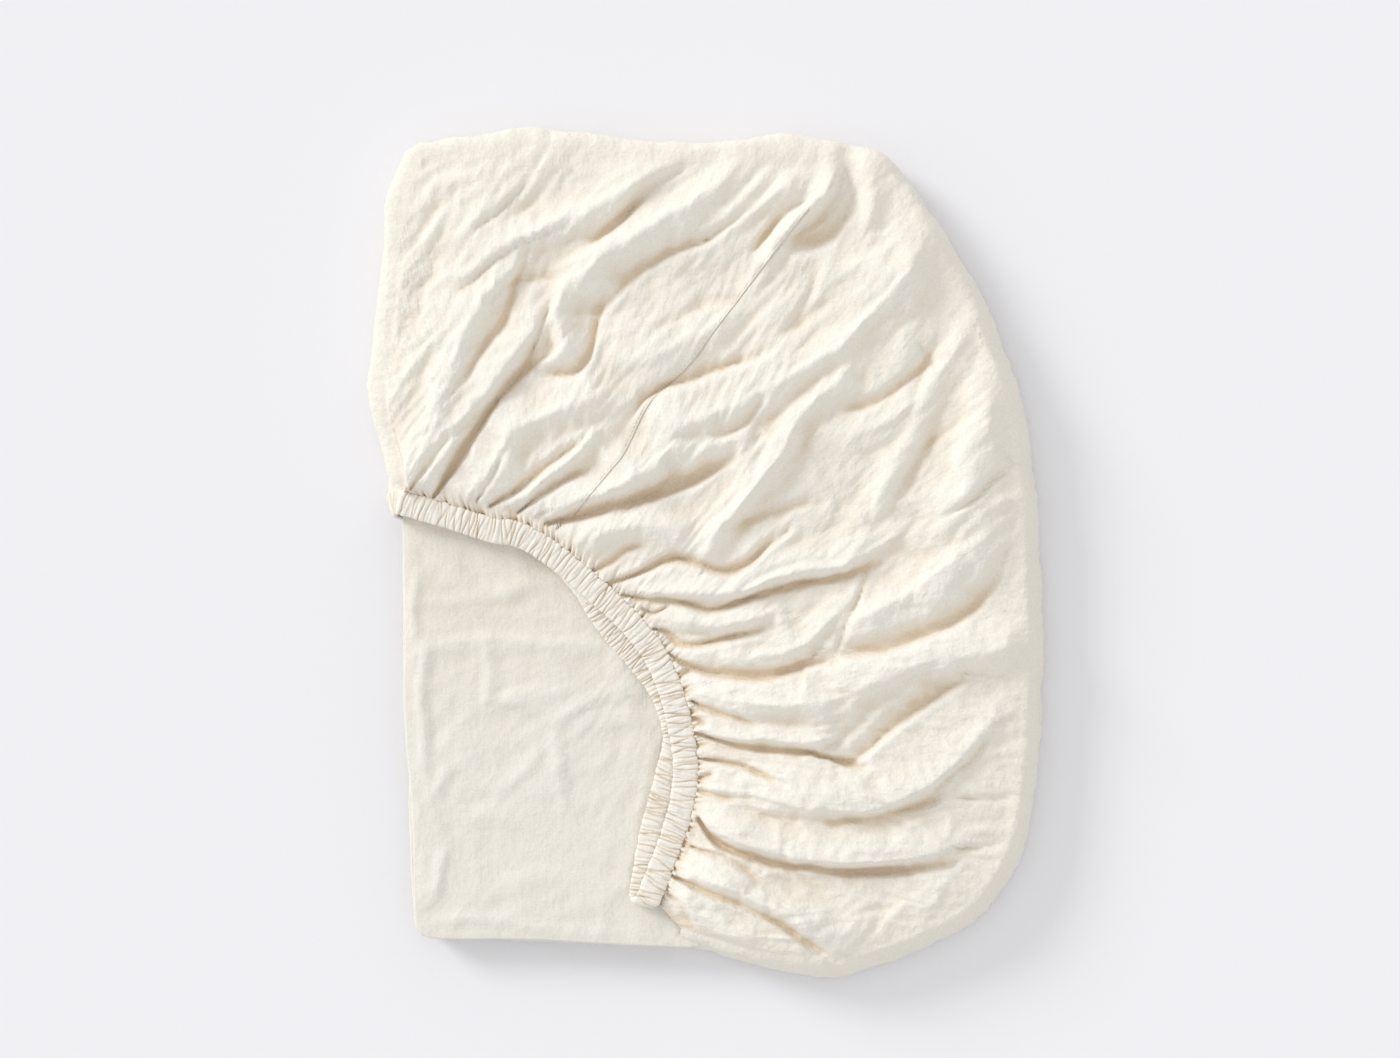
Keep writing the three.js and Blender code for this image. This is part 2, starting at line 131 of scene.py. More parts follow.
# The pocket's outline from above, clockwise from the casing at the left edge to the casing's tip.
pocketOutline = [
    (-159.5, 28.5), (-162, 46.5), (-168.2, 66.5), (-169.6, 86.5), (-166.5, 117), (-163, 147),
    (-161.5, 174), (-155.5, 193), (-146, 205.5), (-118, 209.5), (-81, 213.6), (-38, 208), (2, 206.5),
    (39, 210.5), (70, 205.5), (89, 200), (110, 176.5), (137, 134), (149, 105), (161, 69), (167, 26),
    (169.3, -24), (169.5, -74), (166.5, -118.5), (159, -152.5), (139, -182), (112, -198), (82, -209),
    (59, -213.7), (27, -208.5), (-1, -201), (-15, -197.4),
]

# The pile's open edges: along the near edge, round the corner and up the left edge.
openOutline = [
    (-4, -196.6), (-34, -195.2), (-62, -194.4), (-92, -193), (-120, -192), (-138, -190.4),
    (-142.8, -187.6), (-144.4, -179), (-146, -148), (-148, -112), (-149.4, -72), (-150.4, -30),
    (-151, 6), (-149.5, 33.5),
]

upperRun = [
    (-152, 25.2), (-132, 19.5), (-108, 11.8), (-94, 9.5), (-79, 1.2), (-62.5, -12), (-38, -34.5),
    (-24.5, -52.5), (-16, -73.5), (-11.5, -94), (-10.2, -110), (-13, -129), (-21, -153), (-29, -173),
]

# The casing's end hangs down the pile's left side. Its last place is the upper run's start.
sideRun = [(-153.8, 22.4, 3.4), (-156.6, 22.8, 8), (-157.2, 23.4, 14), (-156, 24.6, 19.2)]

lowerRun = [
    (-32.5, -172), (-29.2, -152), (-26, -136), (-19.5, -112), (-15.5, -91), (-22, -69.5),
    (-33.5, -53.5), (-50, -34), (-63, -14), (-82, 4), (-108, 13), (-146, 24),
]

# The pocket's main folds. Each row has a crest of a few points, the width it falls off over on the
# left and on the right of the crest's direction, and its height.
ridges = [
    ([(-133, 195), (-113, 201), (-96, 210)], 5, 6, 1.6),
    ([(-163, 112), (-157, 130), (-148, 148), (-136, 166), (-120, 181), (-100, 192)], 11, 12, 1.5),
    ([(-124, 132), (-118, 154), (-104, 172), (-88, 188), (-68, 206)], 12, 8, 1.6),
    ([(-120, 137), (-104, 147), (-84, 159), (-66, 171)], 4, 3, 1.1),
    ([(-116, 128), (-102, 134), (-90, 143), (-76, 156)], 4, 3, 1.1),
    ([(-161, 70), (-151, 86), (-138, 102), (-124, 117)], 9, 7, 1.9),
    ([(-118, 140), (-88, 156), (-58, 167), (-38, 182), (3, 203)], 10, 8, 3.8),
    ([(-152, 35), (-137, 56), (-129, 79), (-113, 121), (-90, 147)], 10, 11, 3.6),
    ([(-138, 37), (-127, 56), (-97, 96), (-83, 111), (-77, 125)], 11, 8, 4.6),
    ([(-79, 94), (-69, 102), (-73, 119), (-65, 134), (-53, 145)], 7, 10, 4.6),
    ([(-65, 134), (-53, 145), (-28, 160), (0, 178), (22, 200)], 8, 12, 5),
    ([(-114, 30), (-103, 45), (-93, 61), (-58, 77), (-40, 84)], 13, 11, 5),
    ([(-95, 26), (-80, 37), (-65, 48), (-57, 56)], 6, 5, 2.8),
    ([(-53, 82), (-33, 94), (-13, 104), (7, 114), (21, 127)], 17, 12, 3.6),
    ([(-73, 22), (-48, 32), (-33, 41), (-15, 51), (14, 57)], 13, 11, 6.4),
    ([(-25, 49), (-8, 64), (17, 75), (42, 88), (64, 100)], 15, 13, 6.2),
    ([(64, 100), (89, 128), (106, 147), (111, 174)], 15, 14, 6),
    ([(8, 162), (29, 176), (49, 182)], 10, 7, 3.6),
    ([(32, 145), (42, 160), (54, 174), (64, 185), (64, 196)], 6, 5, 4.6),
    ([(81, 199), (84, 179), (81, 160)], 8, 7, 3.4),
    ([(0, -1), (7, 14), (36, 50), (48, 69), (66, 84), (75, 106)], 11, 10, 4.8),
    ([(77, 15), (88, 32), (98, 52), (104, 69)], 8, 10, 2.8),
    ([(62, 60), (92, 66), (108, 78), (124, 100), (140, 125)], 7, 12, 3.2),
    ([(144, 114), (143, 81), (139, 56), (128, 30), (114, 4)], 13, 16, 5.6),
    ([(143, 14), (124, -4), (104, -18), (82, -29), (64, -43)], 16, 12, 4.8),
    ([(122, -1), (129, 11), (143, 24), (158, 26)], 6, 10, 3.4),
    ([(-8, -69), (27, -74), (52, -74), (73, -69), (97, -58)], 13, 13, 5.8),
    ([(97, -58), (121, -51), (150, -46), (165, -44)], 13, 13, 5),
    ([(-26, -19), (5, -19), (37, -11), (67, -4), (88, 5)], 10, 5, 4),
    ([(-17, -34), (8, -35), (35, -30)], 7, 6, 3.4),
    ([(-12, -49), (17, -50), (42, -47), (58, -36), (78, -14)], 7, 8, 3.4),
    ([(-67, 4), (-43, 12), (-23, 12), (-7, 6)], 10, 9, 4.4),
    ([(-3, -87), (22, -92), (47, -94), (65, -87)], 8, 5, 3.6),
    ([(-1, -117), (37, -124), (72, -127), (100, -120), (140, -90)], 14, 7, 4.8),
    ([(-2, -130), (15, -142), (37, -149), (72, -152), (121, -148)], 14, 7, 5.8),
    ([(-8, -158), (17, -169), (42, -181), (63, -196)], 14, 7, 4.8),
    ([(-17, -171), (2, -186), (27, -199)], 6, 8, 2.4),
]

# Deep places between the folds. Their heights are negative.
hollows = [
    ([(70, 196), (69, 177), (58, 161), (45, 154)], 10, 8, -6.0),
    ([(62, -134), (82, -130), (110, -126), (116, -122)], 4, 3, -2.6),
    ([(110, -122), (120, -111), (134, -101), (143, -92)], 4, 3, -2.2),
    ([(64, -54), (87, -48), (107, -42), (127, -32), (140, -20), (147, -4)], 10, 4, -3.8),
    ([(70, -104), (83, -96), (97, -84), (112, -74), (128, -62)], 11, 4, -4.2),
    ([(120, 18), (132, 26), (142, 36), (153, 44)], 4, 2.5, -2.6),
    ([(146, 54), (152, 46), (158, 41)], 3, 2, -1.4),
    ([(70, 72), (87, 76), (100, 86), (114, 96)], 6, 3, -2.2),
    ([(26, 152), (40, 168), (51, 176)], 4, 2.5, -2.8),
    ([(37, 152), (52, 164), (62, 170), (71, 166)], 4, 3, -2.6),
    ([(-54, 155), (-33, 174), (-20, 186), (-7, 194)], 6, 3, -3.2),
    ([(-54, 120), (-33, 139), (-13, 150), (7, 160), (27, 176), (36, 188)], 6, 4, -3.2),
    ([(-36, 68), (-28, 78), (-8, 85), (12, 92), (32, 100)], 6, 3, -3.2),
    ([(-83, 89), (-68, 88), (-58, 96), (-54, 110), (-53, 124)], 6, 2.5, -3.2),
    ([(-130, 74), (-119, 88), (-109, 102), (-100, 114), (-93, 132), (-86, 150)], 4, 3, -2.4),
    ([(-89, 92), (-82, 108), (-76, 122)], 4, 2, -2.2),
    ([(6, 60), (20, 68), (30, 80)], 5, 3, -2.2),
    ([(14, 14), (32, 20), (58, 26)], 6, 4, -2.2),
    ([(98, 30), (106, 49), (116, 62)], 6, 5, -2.2),
    ([(-138, 193), (-113, 201), (-94, 210)], 4, 3, -1.8),
    ([(-156, 138), (-146, 156), (-133, 171), (-112, 185)], 5, 5, -1.6),
    ([(-127, 144), (-113, 159), (-98, 174), (-83, 194), (-76, 206)], 4, 2, -1.6),
    ([(-122, 130), (-103, 145), (-83, 156), (-62, 164)], 4, 2, -1.7),
    ([(-106, 126), (-93, 134), (-73, 136), (-57, 144)], 5, 3, -1.8),
    ([(32, 196), (42, 190), (53, 192), (61, 196)], 4, 3, -1.2),
    ([(-26, 112), (-8, 119), (7, 126), (22, 126)], 5, 3, -1.2),
    ([(37, 104), (47, 116), (54, 132), (53, 146)], 6, 5, -1.4),
    ([(100, 109), (110, 99), (116, 90)], 3, 2, -1.2),
    ([(112, 104), (104, 76), (97, 66)], 5, 3, -1.2),
    ([(148, -144), (127, -148), (114, -152)], 3, 2, -1.3),
    ([(155, -120), (140, -121), (122, -122)], 2.5, 2.5, -1.4),
    ([(167, -32), (156, -32), (146, -30)], 2, 2, -1.4),
    ([(82, -4), (76, -18), (70, -36), (66, -51)], 3, 3, -1.4),
    ([(17, -16), (32, -8), (52, -4), (72, -1)], 3, 3, -1.2),
]

# Valleys that run out of the casing, from the left edge to the tip. They start narrow at its seam.
valleys = [
    ([(-147, 32), (-138, 44), (-128, 56), (-119, 62), (-110, 74)], 5, 4, -2.0),
    ([(-135, 28), (-126, 42), (-113, 62), (-103, 76), (-90, 90), (-75, 100)], 6, 3, -3.6),
    ([(-114, 26), (-107, 38), (-101, 50)], 2, 3, -1.3),
    ([(-107, 24), (-93, 33), (-80, 44), (-67, 52), (-62, 56)], 5, 4, -2.6),
    ([(-93, 20), (-80, 30), (-70, 36), (-59, 40)], 4, 2.5, -2.2),
    ([(-78, 14), (-58, 20), (-33, 28), (-8, 38), (12, 49)], 9, 5, -4.2),
    ([(-74, 12), (-66, 17), (-58, 18)], 2, 2, -1.6),
    ([(-59, -10), (-48, -4), (-40, 2), (-30, 4)], 3, 3, -1.8),
    ([(-52, -16), (-33, -9), (-16, -2), (-3, -4), (8, -8), (20, -5), (30, 4), (40, 12)], 5, 4, -3.2),
    ([(-42, -20), (-33, -22), (-13, -24), (3, -28), (22, -22), (47, -16), (72, -10), (87, -5)], 3, 4, -2.6),
    ([(-33, -27), (-26, -30), (-17, -26)], 1.6, 1.6, -1.5),
    ([(-26, -38), (-19, -40), (-12, -45), (0, -45), (13, -42), (27, -38)], 3, 3, -2.4),
    ([(-18, -50), (-8, -56), (7, -60), (27, -61), (42, -58), (58, -54)], 5, 4, -3.2),
    ([(-16, -60), (-7, -58), (4, -56)], 2, 2, -1.5),
    ([(-8, -74), (0, -78), (12, -81), (23, -84)], 3, 3, -2.2),
    ([(-8, -82), (0, -86)], 2, 2, -1.8),
    ([(-6, -90), (17, -95), (47, -98), (67, -103), (79, -106)], 4, 3, -3.4),
    ([(-4, -102), (17, -105), (28, -110), (38, -114)], 3, 2.5, -2.5),
    ([(-4, -112), (4, -110)], 2.5, 2.5, -1.8),
    ([(-4, -118), (7, -121), (22, -122), (43, -126)], 3, 4, -1.6),
    ([(-4, -132), (4, -142), (17, -149), (42, -154), (72, -158), (97, -158), (123, -154)], 6, 4, -4.2),
    ([(-7, -146), (10, -152), (20, -158), (30, -164)], 3, 4, -1.6),
    ([(-16, -162), (-3, -167), (17, -174), (37, -184), (54, -196), (65, -204)], 5, 4, -2.8),
    ([(-20, -170), (-13, -176), (-7, -186)], 3, 3, -1.8),
    ([(-25, -176), (-16, -186), (-4, -196)], 3, 3, -1.3),
]

# Creases pressed into the panel while the sheet lay folded, in the same columns.
panelCreases = [
    ([(-143, -48), (-113, -43), (-73, -45), (-33, -46)], 3, 8, 0.9),
    ([(-110, -44), (-110, -60), (-110, -76)], 7, 2, 1.0),
    ([(-100, -74), (-83, -80), (-75, -84)], 4, 3, 0.9),
    ([(-75, -84), (-58, -76), (-33, -68)], 5, 3, 0.8),
    ([(-73, -84), (-48, -84), (-19, -82)], 3, 5, 0.8),
    ([(-75, -88), (-74, -106), (-70, -124)], 3, 4, 0.8),
    ([(-103, -74), (-88, -70), (-63, -70)], 3, 6, 0.7),
    ([(-146, -12), (-148, -28), (-147, -44)], 5, 2, 1.0),
    ([(-141, -44), (-142, -74), (-141, -114)], 4, 3, 0.9),
    ([(-133, -4), (-113, -18), (-83, -14)], 5, 7, 0.7),
    ([(-148, -24), (-118, -24), (-93, -18)], 4, 5, 0.5),
    ([(-128, -96), (-103, -118), (-73, -118)], 6, 5, 0.6),
    ([(-100, -116), (-88, -106), (-83, -98)], 4, 4, 0.6),
    ([(-138, -124), (-130, -111), (-118, -106)], 4, 4, 0.6),
    ([(-118, -134), (-103, -131), (-83, -141)], 6, 5, 0.5),
    ([(-137, -176), (-133, -158), (-130, -148)], 4, 3, 0.8),
    ([(-73, -176), (-48, -171), (-33, -148)], 7, 6, 0.5),
    ([(-113, -174), (-88, -164), (-53, -166)], 7, 6, 0.4),
    ([(-46, -44), (-42, -64), (-37, -84)], 4, 3, 0.8),
    ([(-143, -186), (-118, -182), (-83, -188), (-43, -192)], 3, 4, 0.7),
]

# The seam where the sheet's corner is joined, from the casing to the far edge.
cornerSeam = [
    (-66, 18), (-47.5, 40), (-40, 49.5), (-30.5, 69), (-22.5, 80.5), (-9, 92), (10, 117), (41, 157.5),
    (52, 171),
]


# A smooth curve through a few points, measured along its length.
class Line:
    def __init__(self, points, steps=30):
        given = np.array(points, float)
        last = len(given) - 1
        made = []
        for i in range(last):
            before, here = given[max(i - 1, 0)], given[i]
            ahead, beyond = given[i + 1], given[min(i + 2, last)]
            leave, arrive = (ahead - before) / 2, (beyond - here) / 2
            for t in np.arange(steps) / steps:
                cubic = (2 * here - 2 * ahead + leave + arrive) * t ** 3
                square = (-3 * here + 3 * ahead - 2 * leave - arrive) * t ** 2
                made.append(cubic + square + leave * t + here)
        made.append(given[last])
        self.points = np.array(made)
        lengths = np.linalg.norm(np.diff(self.points, axis=0), axis=1)
        self.length = lengths.sum()
        self.shares = np.concatenate([[0], np.cumsum(lengths)]) / self.length

    def at(self, share):
        return np.stack([np.interp(share, self.shares, column) for column in self.points.T], -1)

    def heading(self, share):
        ahead = self.at(np.clip(share + 0.002, 0, 1)) - self.at(np.clip(share - 0.002, 0, 1))
        return ahead / np.linalg.norm(ahead, axis=-1, keepdims=True)

    def left(self, share):
        ahead = self.heading(share)
        return np.stack([-ahead[..., 1], ahead[..., 0]], -1)

    def offset(self, share, distance):
        return self.at(share) + self.left(share) * np.reshape(distance, (-1, 1))


outline = Line(pocketOutline)
openEdge = Line(openOutline)
upper = Line(upperRun)
lower = Line(lowerRun)


def smoothStep(value, low, high):
    t = np.clip((value - low) / (high - low), 0, 1)
    return t * t * (3 - 2 * t)


def hump(away, width):
    return np.exp(-(away / width) ** 2)


# Smooth random heights from -1 to 1, with features of about the given size.
def softNoise(x, y, size, seed):
    angles = np.random.default_rng(seed).uniform(0, 2 * math.pi, (256, 256))
    gx, gy = x / size, y / size
    ix, iy = np.floor(gx).astype(int), np.floor(gy).astype(int)
    fx, fy = gx - ix, gy - iy
    wx, wy = fx ** 3 * (fx * (fx * 6 - 15) + 10), fy ** 3 * (fy * (fy * 6 - 15) + 10)

    def corner(ox, oy):
        angle = angles[(ix + ox) % 256, (iy + oy) % 256]
        return np.cos(angle) * (fx - ox) + np.sin(angle) * (fy - oy)

    low = corner(0, 0) * (1 - wx) + corner(1, 0) * wx
    high = corner(0, 1) * (1 - wx) + corner(1, 1) * wx
    return 1.5 * (low * (1 - wy) + high * wy)


# Thin random crests between flat places, as in washed cotton.
def crinkle(x, y, size, seed):
    turnedX, turnedY = x * 0.8 - y * 0.6, x * 0.6 + y * 0.8
    warpX = turnedX + size * 0.7 * softNoise(x, y, size * 2, seed + 1)
    warpY = turnedY + size * 0.7 * softNoise(x, y, size * 2, seed + 2)
    first = 1 - np.abs(softNoise(warpX, warpY, size, seed)) * 2.2
    second = 1 - np.abs(softNoise(warpY, warpX, size * 0.8, seed + 3)) * 2.2
    return np.maximum(first, second) - 0.5


# How far each point is from a line of points, on which side it lies, and how far along it.
def nearLine(points, x, y):
    best = np.full(x.shape, 1e9)
    side, along = np.zeros(x.shape), np.zeros(x.shape)
    for i in range(len(points) - 1):
        (fromX, fromY), (stepX, stepY) = points[i], points[i + 1] - points[i]
        share = np.clip(((x - fromX) * stepX + (y - fromY) * stepY) / (stepX ** 2 + stepY ** 2), 0, 1)
        awayX, awayY = x - fromX - share * stepX, y - fromY - share * stepY
        away = np.hypot(awayX, awayY)
        nearer = away < best
        best = np.where(nearer, away, best)
        side = np.where(nearer, stepX * awayY - stepY * awayX, side)
        along = np.where(nearer, (i + share) / (len(points) - 1), along)
    return best, side, along


# The same crests drawn out along one direction, given in degrees.
def drawnOutCrinkle(x, y, degrees, size, seed):
    c, s = math.cos(math.radians(degrees)), math.sin(math.radians(degrees))
    return crinkle((x * c + y * s) / 3.2, y * c - x * s, size, seed)


# Crests that run up to the right at the back of the pocket, and across nearer the front.
def runningCrinkle(x, y, size, backSeed, frontSeed):
    back = smoothStep(y, -70, 20)
    found = back * drawnOutCrinkle(x, y, pocket["backWay"], size, backSeed)
    return found + (1 - back) * drawnOutCrinkle(x, y, pocket["frontWay"], size, frontSeed)


# Height of one fold at each point, its crest smoothed and its ends tapered off unless they join another.
def foldHeight(fold, x, y, joined=(), seed=0, sharpness=0.0, narrowStart=False):
    crest, leftWidth, rightWidth, height = fold
    line = Line(crest, 7)
    reach = max(leftWidth, rightWidth) * 1.3
    low, high = line.points.min(0) - reach, line.points.max(0) + reach
    near = (x > low[0]) & (x < high[0]) & (y > low[1]) & (y < high[1])
    best, side, along = nearLine(line.points, x[near], y[near])
    varied = 1 + 0.22 * softNoise(along * 4 + seed, along * 0 + seed * 0.37, 1, 5)
    width = np.where(side > 0, leftWidth, rightWidth) * varied
    if narrowStart:
        width = width * (0.3 + 0.7 * smoothStep(along, 0, 0.3))
    t = np.clip(best / width, 0, 1)
    bell = (1 - t * t) ** 2
    pinched = (1 - t) ** 1.6 * (1 + 0.6 * t)
    startTaper = 1 if narrowStart or tuple(crest[0]) in joined else 0.5 + 0.5 * smoothStep(along, 0, 0.25)
    endTaper = 1 if tuple(crest[-1]) in joined else 0.4 + 0.6 * smoothStep(1 - along, 0, 0.25)
    found = np.zeros(x.shape)
    found[near] = height * startTaper * endTaper * ((1 - sharpness) * bell + sharpness * pinched)
    return found


def joinedEnds(folds):
    points = [tuple(point) for fold in folds for point in fold[0]]
    return {point for point in points if points.count(point) > 1}


# The pocket's folds at each point. Where ridges meet they leave creased valleys.
def reliefAt(x, y):
    warpX = x + pocket["wander"] * softNoise(x, y, 34, 11) + 0.7 * softNoise(x, y, 11, 12)
    warpY = y + pocket["wander"] * softNoise(x, y, 34, 13) + 0.7 * softNoise(x, y, 11, 14)
    joined = joinedEnds(ridges)
    total = np.ones(x.shape)
    for number, (crest, leftWidth, rightWidth, rise) in enumerate(ridges):
        ridge = (crest, leftWidth * pocket["litSide"], rightWidth * pocket["shadySide"], rise)
        height = pocket["lift"] * foldHeight(ridge, warpX, warpY, joined, number, pocket["sharpness"])
        total += np.exp(height / pocket["foldBlend"]) - 1
    height = pocket["foldBlend"] * np.log(total)
    for number, hollow in enumerate(hollows):
        height += pocket["hollowDepth"] * foldHeight(hollow, warpX, warpY, (), number, 0.6)
    return height + pocket["swell"] * softNoise(x, y, 52, 17)


def valleysAt(x, y):
    warpX, warpY = x + 1.2 * softNoise(x, y, 30, 15), y + 1.2 * softNoise(x, y, 30, 16)
    height = np.zeros(x.shape)
    for number, valley in enumerate(valleys):
        height = np.minimum(height, foldHeight(valley, warpX, warpY, (), number, 0.75, True))
    return height


# Where the casing's pleats meet, as distances along a run, uneven as gathered elastic makes them.
def pleatLines(length, seed, start=0.8):
    chance = np.random.default_rng(seed)
    lines = []
    at = start
    while at < length:
        lines.append({
            "at": at,
            "skew": chance.uniform(-1.5, 1.5),
            "depth": chance.uniform(0.25, 1.0),
            "fade": chance.uniform(-0.6, 0.6),
            "reach": chance.uniform(2.5, 9),
            "knot": chance.uniform(0.2, 1.2),
        })
        spread = casing["pleatLongest"] - casing["pleatShortest"]
        at += casing["pleatShortest"] + spread * chance.random() ** 1.6
    return lines


upperPleats = pleatLines(upper.length + 9, 21, -19)
lowerPleats = pleatLines(lower.length, 22)

gather = {
    "groove": 1.9,          # the deepest pleat's furrow in the skirt
    "pit": 2.0,             # where it runs in under the casing
    "pitWidth": 0.9,
    "knotFrom": 1.8,        # the small puffs between the pleats, from the mouth
    "knotLength": 1.5,
}


# The gathers that run out of the casing into the skirt, at a distance from the mouth in millimetres.
def gathersAt(across, away):
    along = across * upper.length
    height = np.zeros(across.shape)
    for pleat, following in zip(upperPleats, upperPleats[1:]):
        near = (np.abs(along - pleat["at"]) < 6) & (away < 26)
        out = away[near]
        offset = along[near] - pleat["at"] - pleat["skew"] * 0.12 * out
        groove = hump(offset, 0.75 + 0.05 * out) * np.exp(-(out / pleat["reach"]) ** 1.3)
        pit = hump(offset, gather["pitWidth"]) * hump(out - 0.6, 1.5)
        halfWay = (following["at"] - pleat["at"]) / 2
        fromMiddle = np.clip((along[near] - pleat["at"] - halfWay) / halfWay, -1, 1)
        knot = (1 - fromMiddle ** 2) * hump(out - gather["knotFrom"], gather["knotLength"])
        height[near] += pleat["knot"] * knot - gather["groove"] * pleat["depth"] ** 2 * groove
        height[near] -= gather["pit"] * pleat["depth"] ** 3 * pit
    return height


# A table of places with more columns, such as a height or a shade, each a number or one for each place.
def withColumns(places, *columns):
    return np.column_stack([places, *(column * np.ones(len(places)) for column in columns)])


def meshFrom(bm, name):
    mesh = bpy.data.meshes.new(name)
    bm.to_mesh(mesh)
    bm.free()
    return mesh


# Merges a piece's doubles. A closed piece has its open ends filled and its faces turned outwards.
def merge(piece, distance, closed=False):
    bm = bmesh.new()
    bm.from_mesh(piece.data)
    bmesh.ops.remove_doubles(bm, verts=bm.verts, dist=distance)
    if closed:
        bmesh.ops.holes_fill(bm, edges=[edge for edge in bm.edges if edge.is_boundary], sides=0)
        bmesh.ops.recalc_face_normals(bm, faces=bm.faces)
    bm.to_mesh(piece.data)
    bm.free()


def linked(name, data):
    made = bpy.data.objects.new(name, data)
    bpy.context.scene.collection.objects.link(made)
    return made


# Writes an attribute that a material reads.
def mark(mesh, name, values):
    kind, field = ("FLOAT", "value") if values.ndim == 1 else ("FLOAT_VECTOR", "vector")
    mesh.attributes.new(name, kind, "POINT").data.foreach_set(field, values.astype(np.float32).ravel())


# A piece of the sheet's surface, from a grid whose two shares are turned into places. The attribute "shade"
# says how deep in a hollow a point is, for the material's painted shade, and "lay" how the cloth runs and
# how wrinkled it is.
def surface(name, columns, rows, placer, flip=False, laid=None, wrinkled=1.0):
    bm = bmesh.new()
    bmesh.ops.create_grid(bm, x_segments=columns, y_segments=rows, size=0.5)
    if flip:
        bmesh.ops.reverse_faces(bm, faces=bm.faces)
    mesh = meshFrom(bm, name)
    shares = np.zeros(len(mesh.vertices) * 3)
    mesh.vertices.foreach_get("co", shares)
    shares = shares.reshape(-1, 3) + 0.5
    places = placer(np.clip(shares[:, 0], 0, 1), np.clip(shares[:, 1], 0, 1))
    mesh.vertices.foreach_set("co", (places[:, :3] * metres).astype(np.float32).ravel())
    mark(mesh, "shade", places[:, 3] if places.shape[1] > 3 else np.full(len(places), cloth["shade"]))
    along = shares[:, :2] * laid[:2] + (0, laid[2]) if laid else places[:, :2] * metres
    mark(mesh, "lay", withColumns(along, wrinkled))
    mesh.polygons.foreach_set("use_smooth", [True] * len(mesh.polygons))
    return linked(name, mesh)


# The pocket as it is drawn, from its mouth to its rim: places, how deep the gathers are, and how far
# the near end has lain down on the panel.
def drawnSkirt(across, down):
    mouth = upper.offset(across, pocket["mouthOffset"])
    rim = outline.offset(across, -pocket["rimInset"])
    spread = down ** 1.2
    at = mouth + (rim - mouth) * spread[:, None]
    x, y = at.T
    away = spread * np.linalg.norm(rim - mouth, axis=1)
    lying = smoothStep(across, pocket["endFrom"], 1) * (0.72 + 0.28 * smoothStep(away, 0, 9))
    rise = smoothStep(spread, -0.25, 0.3) * 1.4 - 0.4
    west = 1 - smoothStep(across, 0.13, 0.24)
    fall = (1 - west) * pocket["fall"] * smoothStep(spread, 0.74, 1.08)
    fall += west * pocket["litFall"] * smoothStep(spread, 0.42, 1.1)
    crown = pocket["crown"] * rise * (1 - fall)
    fromMouth = smoothStep(away, 0, 10)
    toRim = 1 - 0.5 * smoothStep(spread, 0.93, 1)
    rough = pocket["crinkle"] * crinkle(x, y, 17, 31)
    rough += pocket["runningCrinkle"] * runningCrinkle(x, y, 11, 35, 36)
    gathers = gathersAt(across, away) + pocket["valleyDepth"] * valleysAt(x, y)
    z = pocket["casingZ"] + crown + gathers - pocket["rimDrop"] * spread
    z += fromMouth * toRim * (reliefAt(x, y) + rough)
    z = np.maximum(z, pocket["lowestZ"])
    z += (pocket["endZ"] + 0.35 * (z - pocket["lowestZ"]) - z) * lying
    return withColumns(at, z, -gathers, lying)


# The surface's height averaged over a round patch, to tell its hollows from its crests.
def broadHeight(x, y, z, reach):
    cell, width, depth = 2, 380, 460
    gx, gy = (x + width / 2) / cell, (y + depth / 2) / cell
    column, row = np.round(gx).astype(int), np.round(gy).astype(int)
    total, count = np.zeros((2, width // cell, depth // cell))
    np.add.at(total, (column, row), z)
    np.add.at(count, (column, row), 1)
    filled = count > 0
    mean = np.where(filled, total / np.maximum(count, 1), 0)
    weight = filled.astype(float)
    steps = np.arange(-int(3 * reach / cell), int(3 * reach / cell) + 1)
    kernel = hump(steps * cell, reach)
    for axis in (0, 1):
        mean = np.apply_along_axis(np.convolve, axis, mean, kernel, "same")
        weight = np.apply_along_axis(np.convolve, axis, weight, kernel, "same")
    mean /= np.maximum(weight, 1e-9)
    column, row = np.floor(gx).astype(int), np.floor(gy).astype(int)
    fx, fy = gx - column, gy - row
    low = mean[column, row] * (1 - fx) + mean[column + 1, row] * fx
    high = mean[column, row + 1] * (1 - fx) + mean[column + 1, row + 1] * fx
    return low * (1 - fy) + high * fy


settling = {
    "cell": 2.4,            # of the simulated cloth's grid
    "halfSize": (176, 218),
    "frames": 22,
    "spare": 0.022,         # more cloth than the drawn shape has, which buckles into creases
    "held": 9,              # from the seams, over which the cloth comes free
    "most": 5,              # that a point may move
    "spring": {
        "quality": 6,
        "mass": 0.01,
        "tension_stiffness": 40,
        "compression_stiffness": 40,
        "shear_stiffness": 20,
        "bending_stiffness": 0.05,
        "air_damping": 1,
        "pin_stiffness": 1,
    },
}
settled = {}


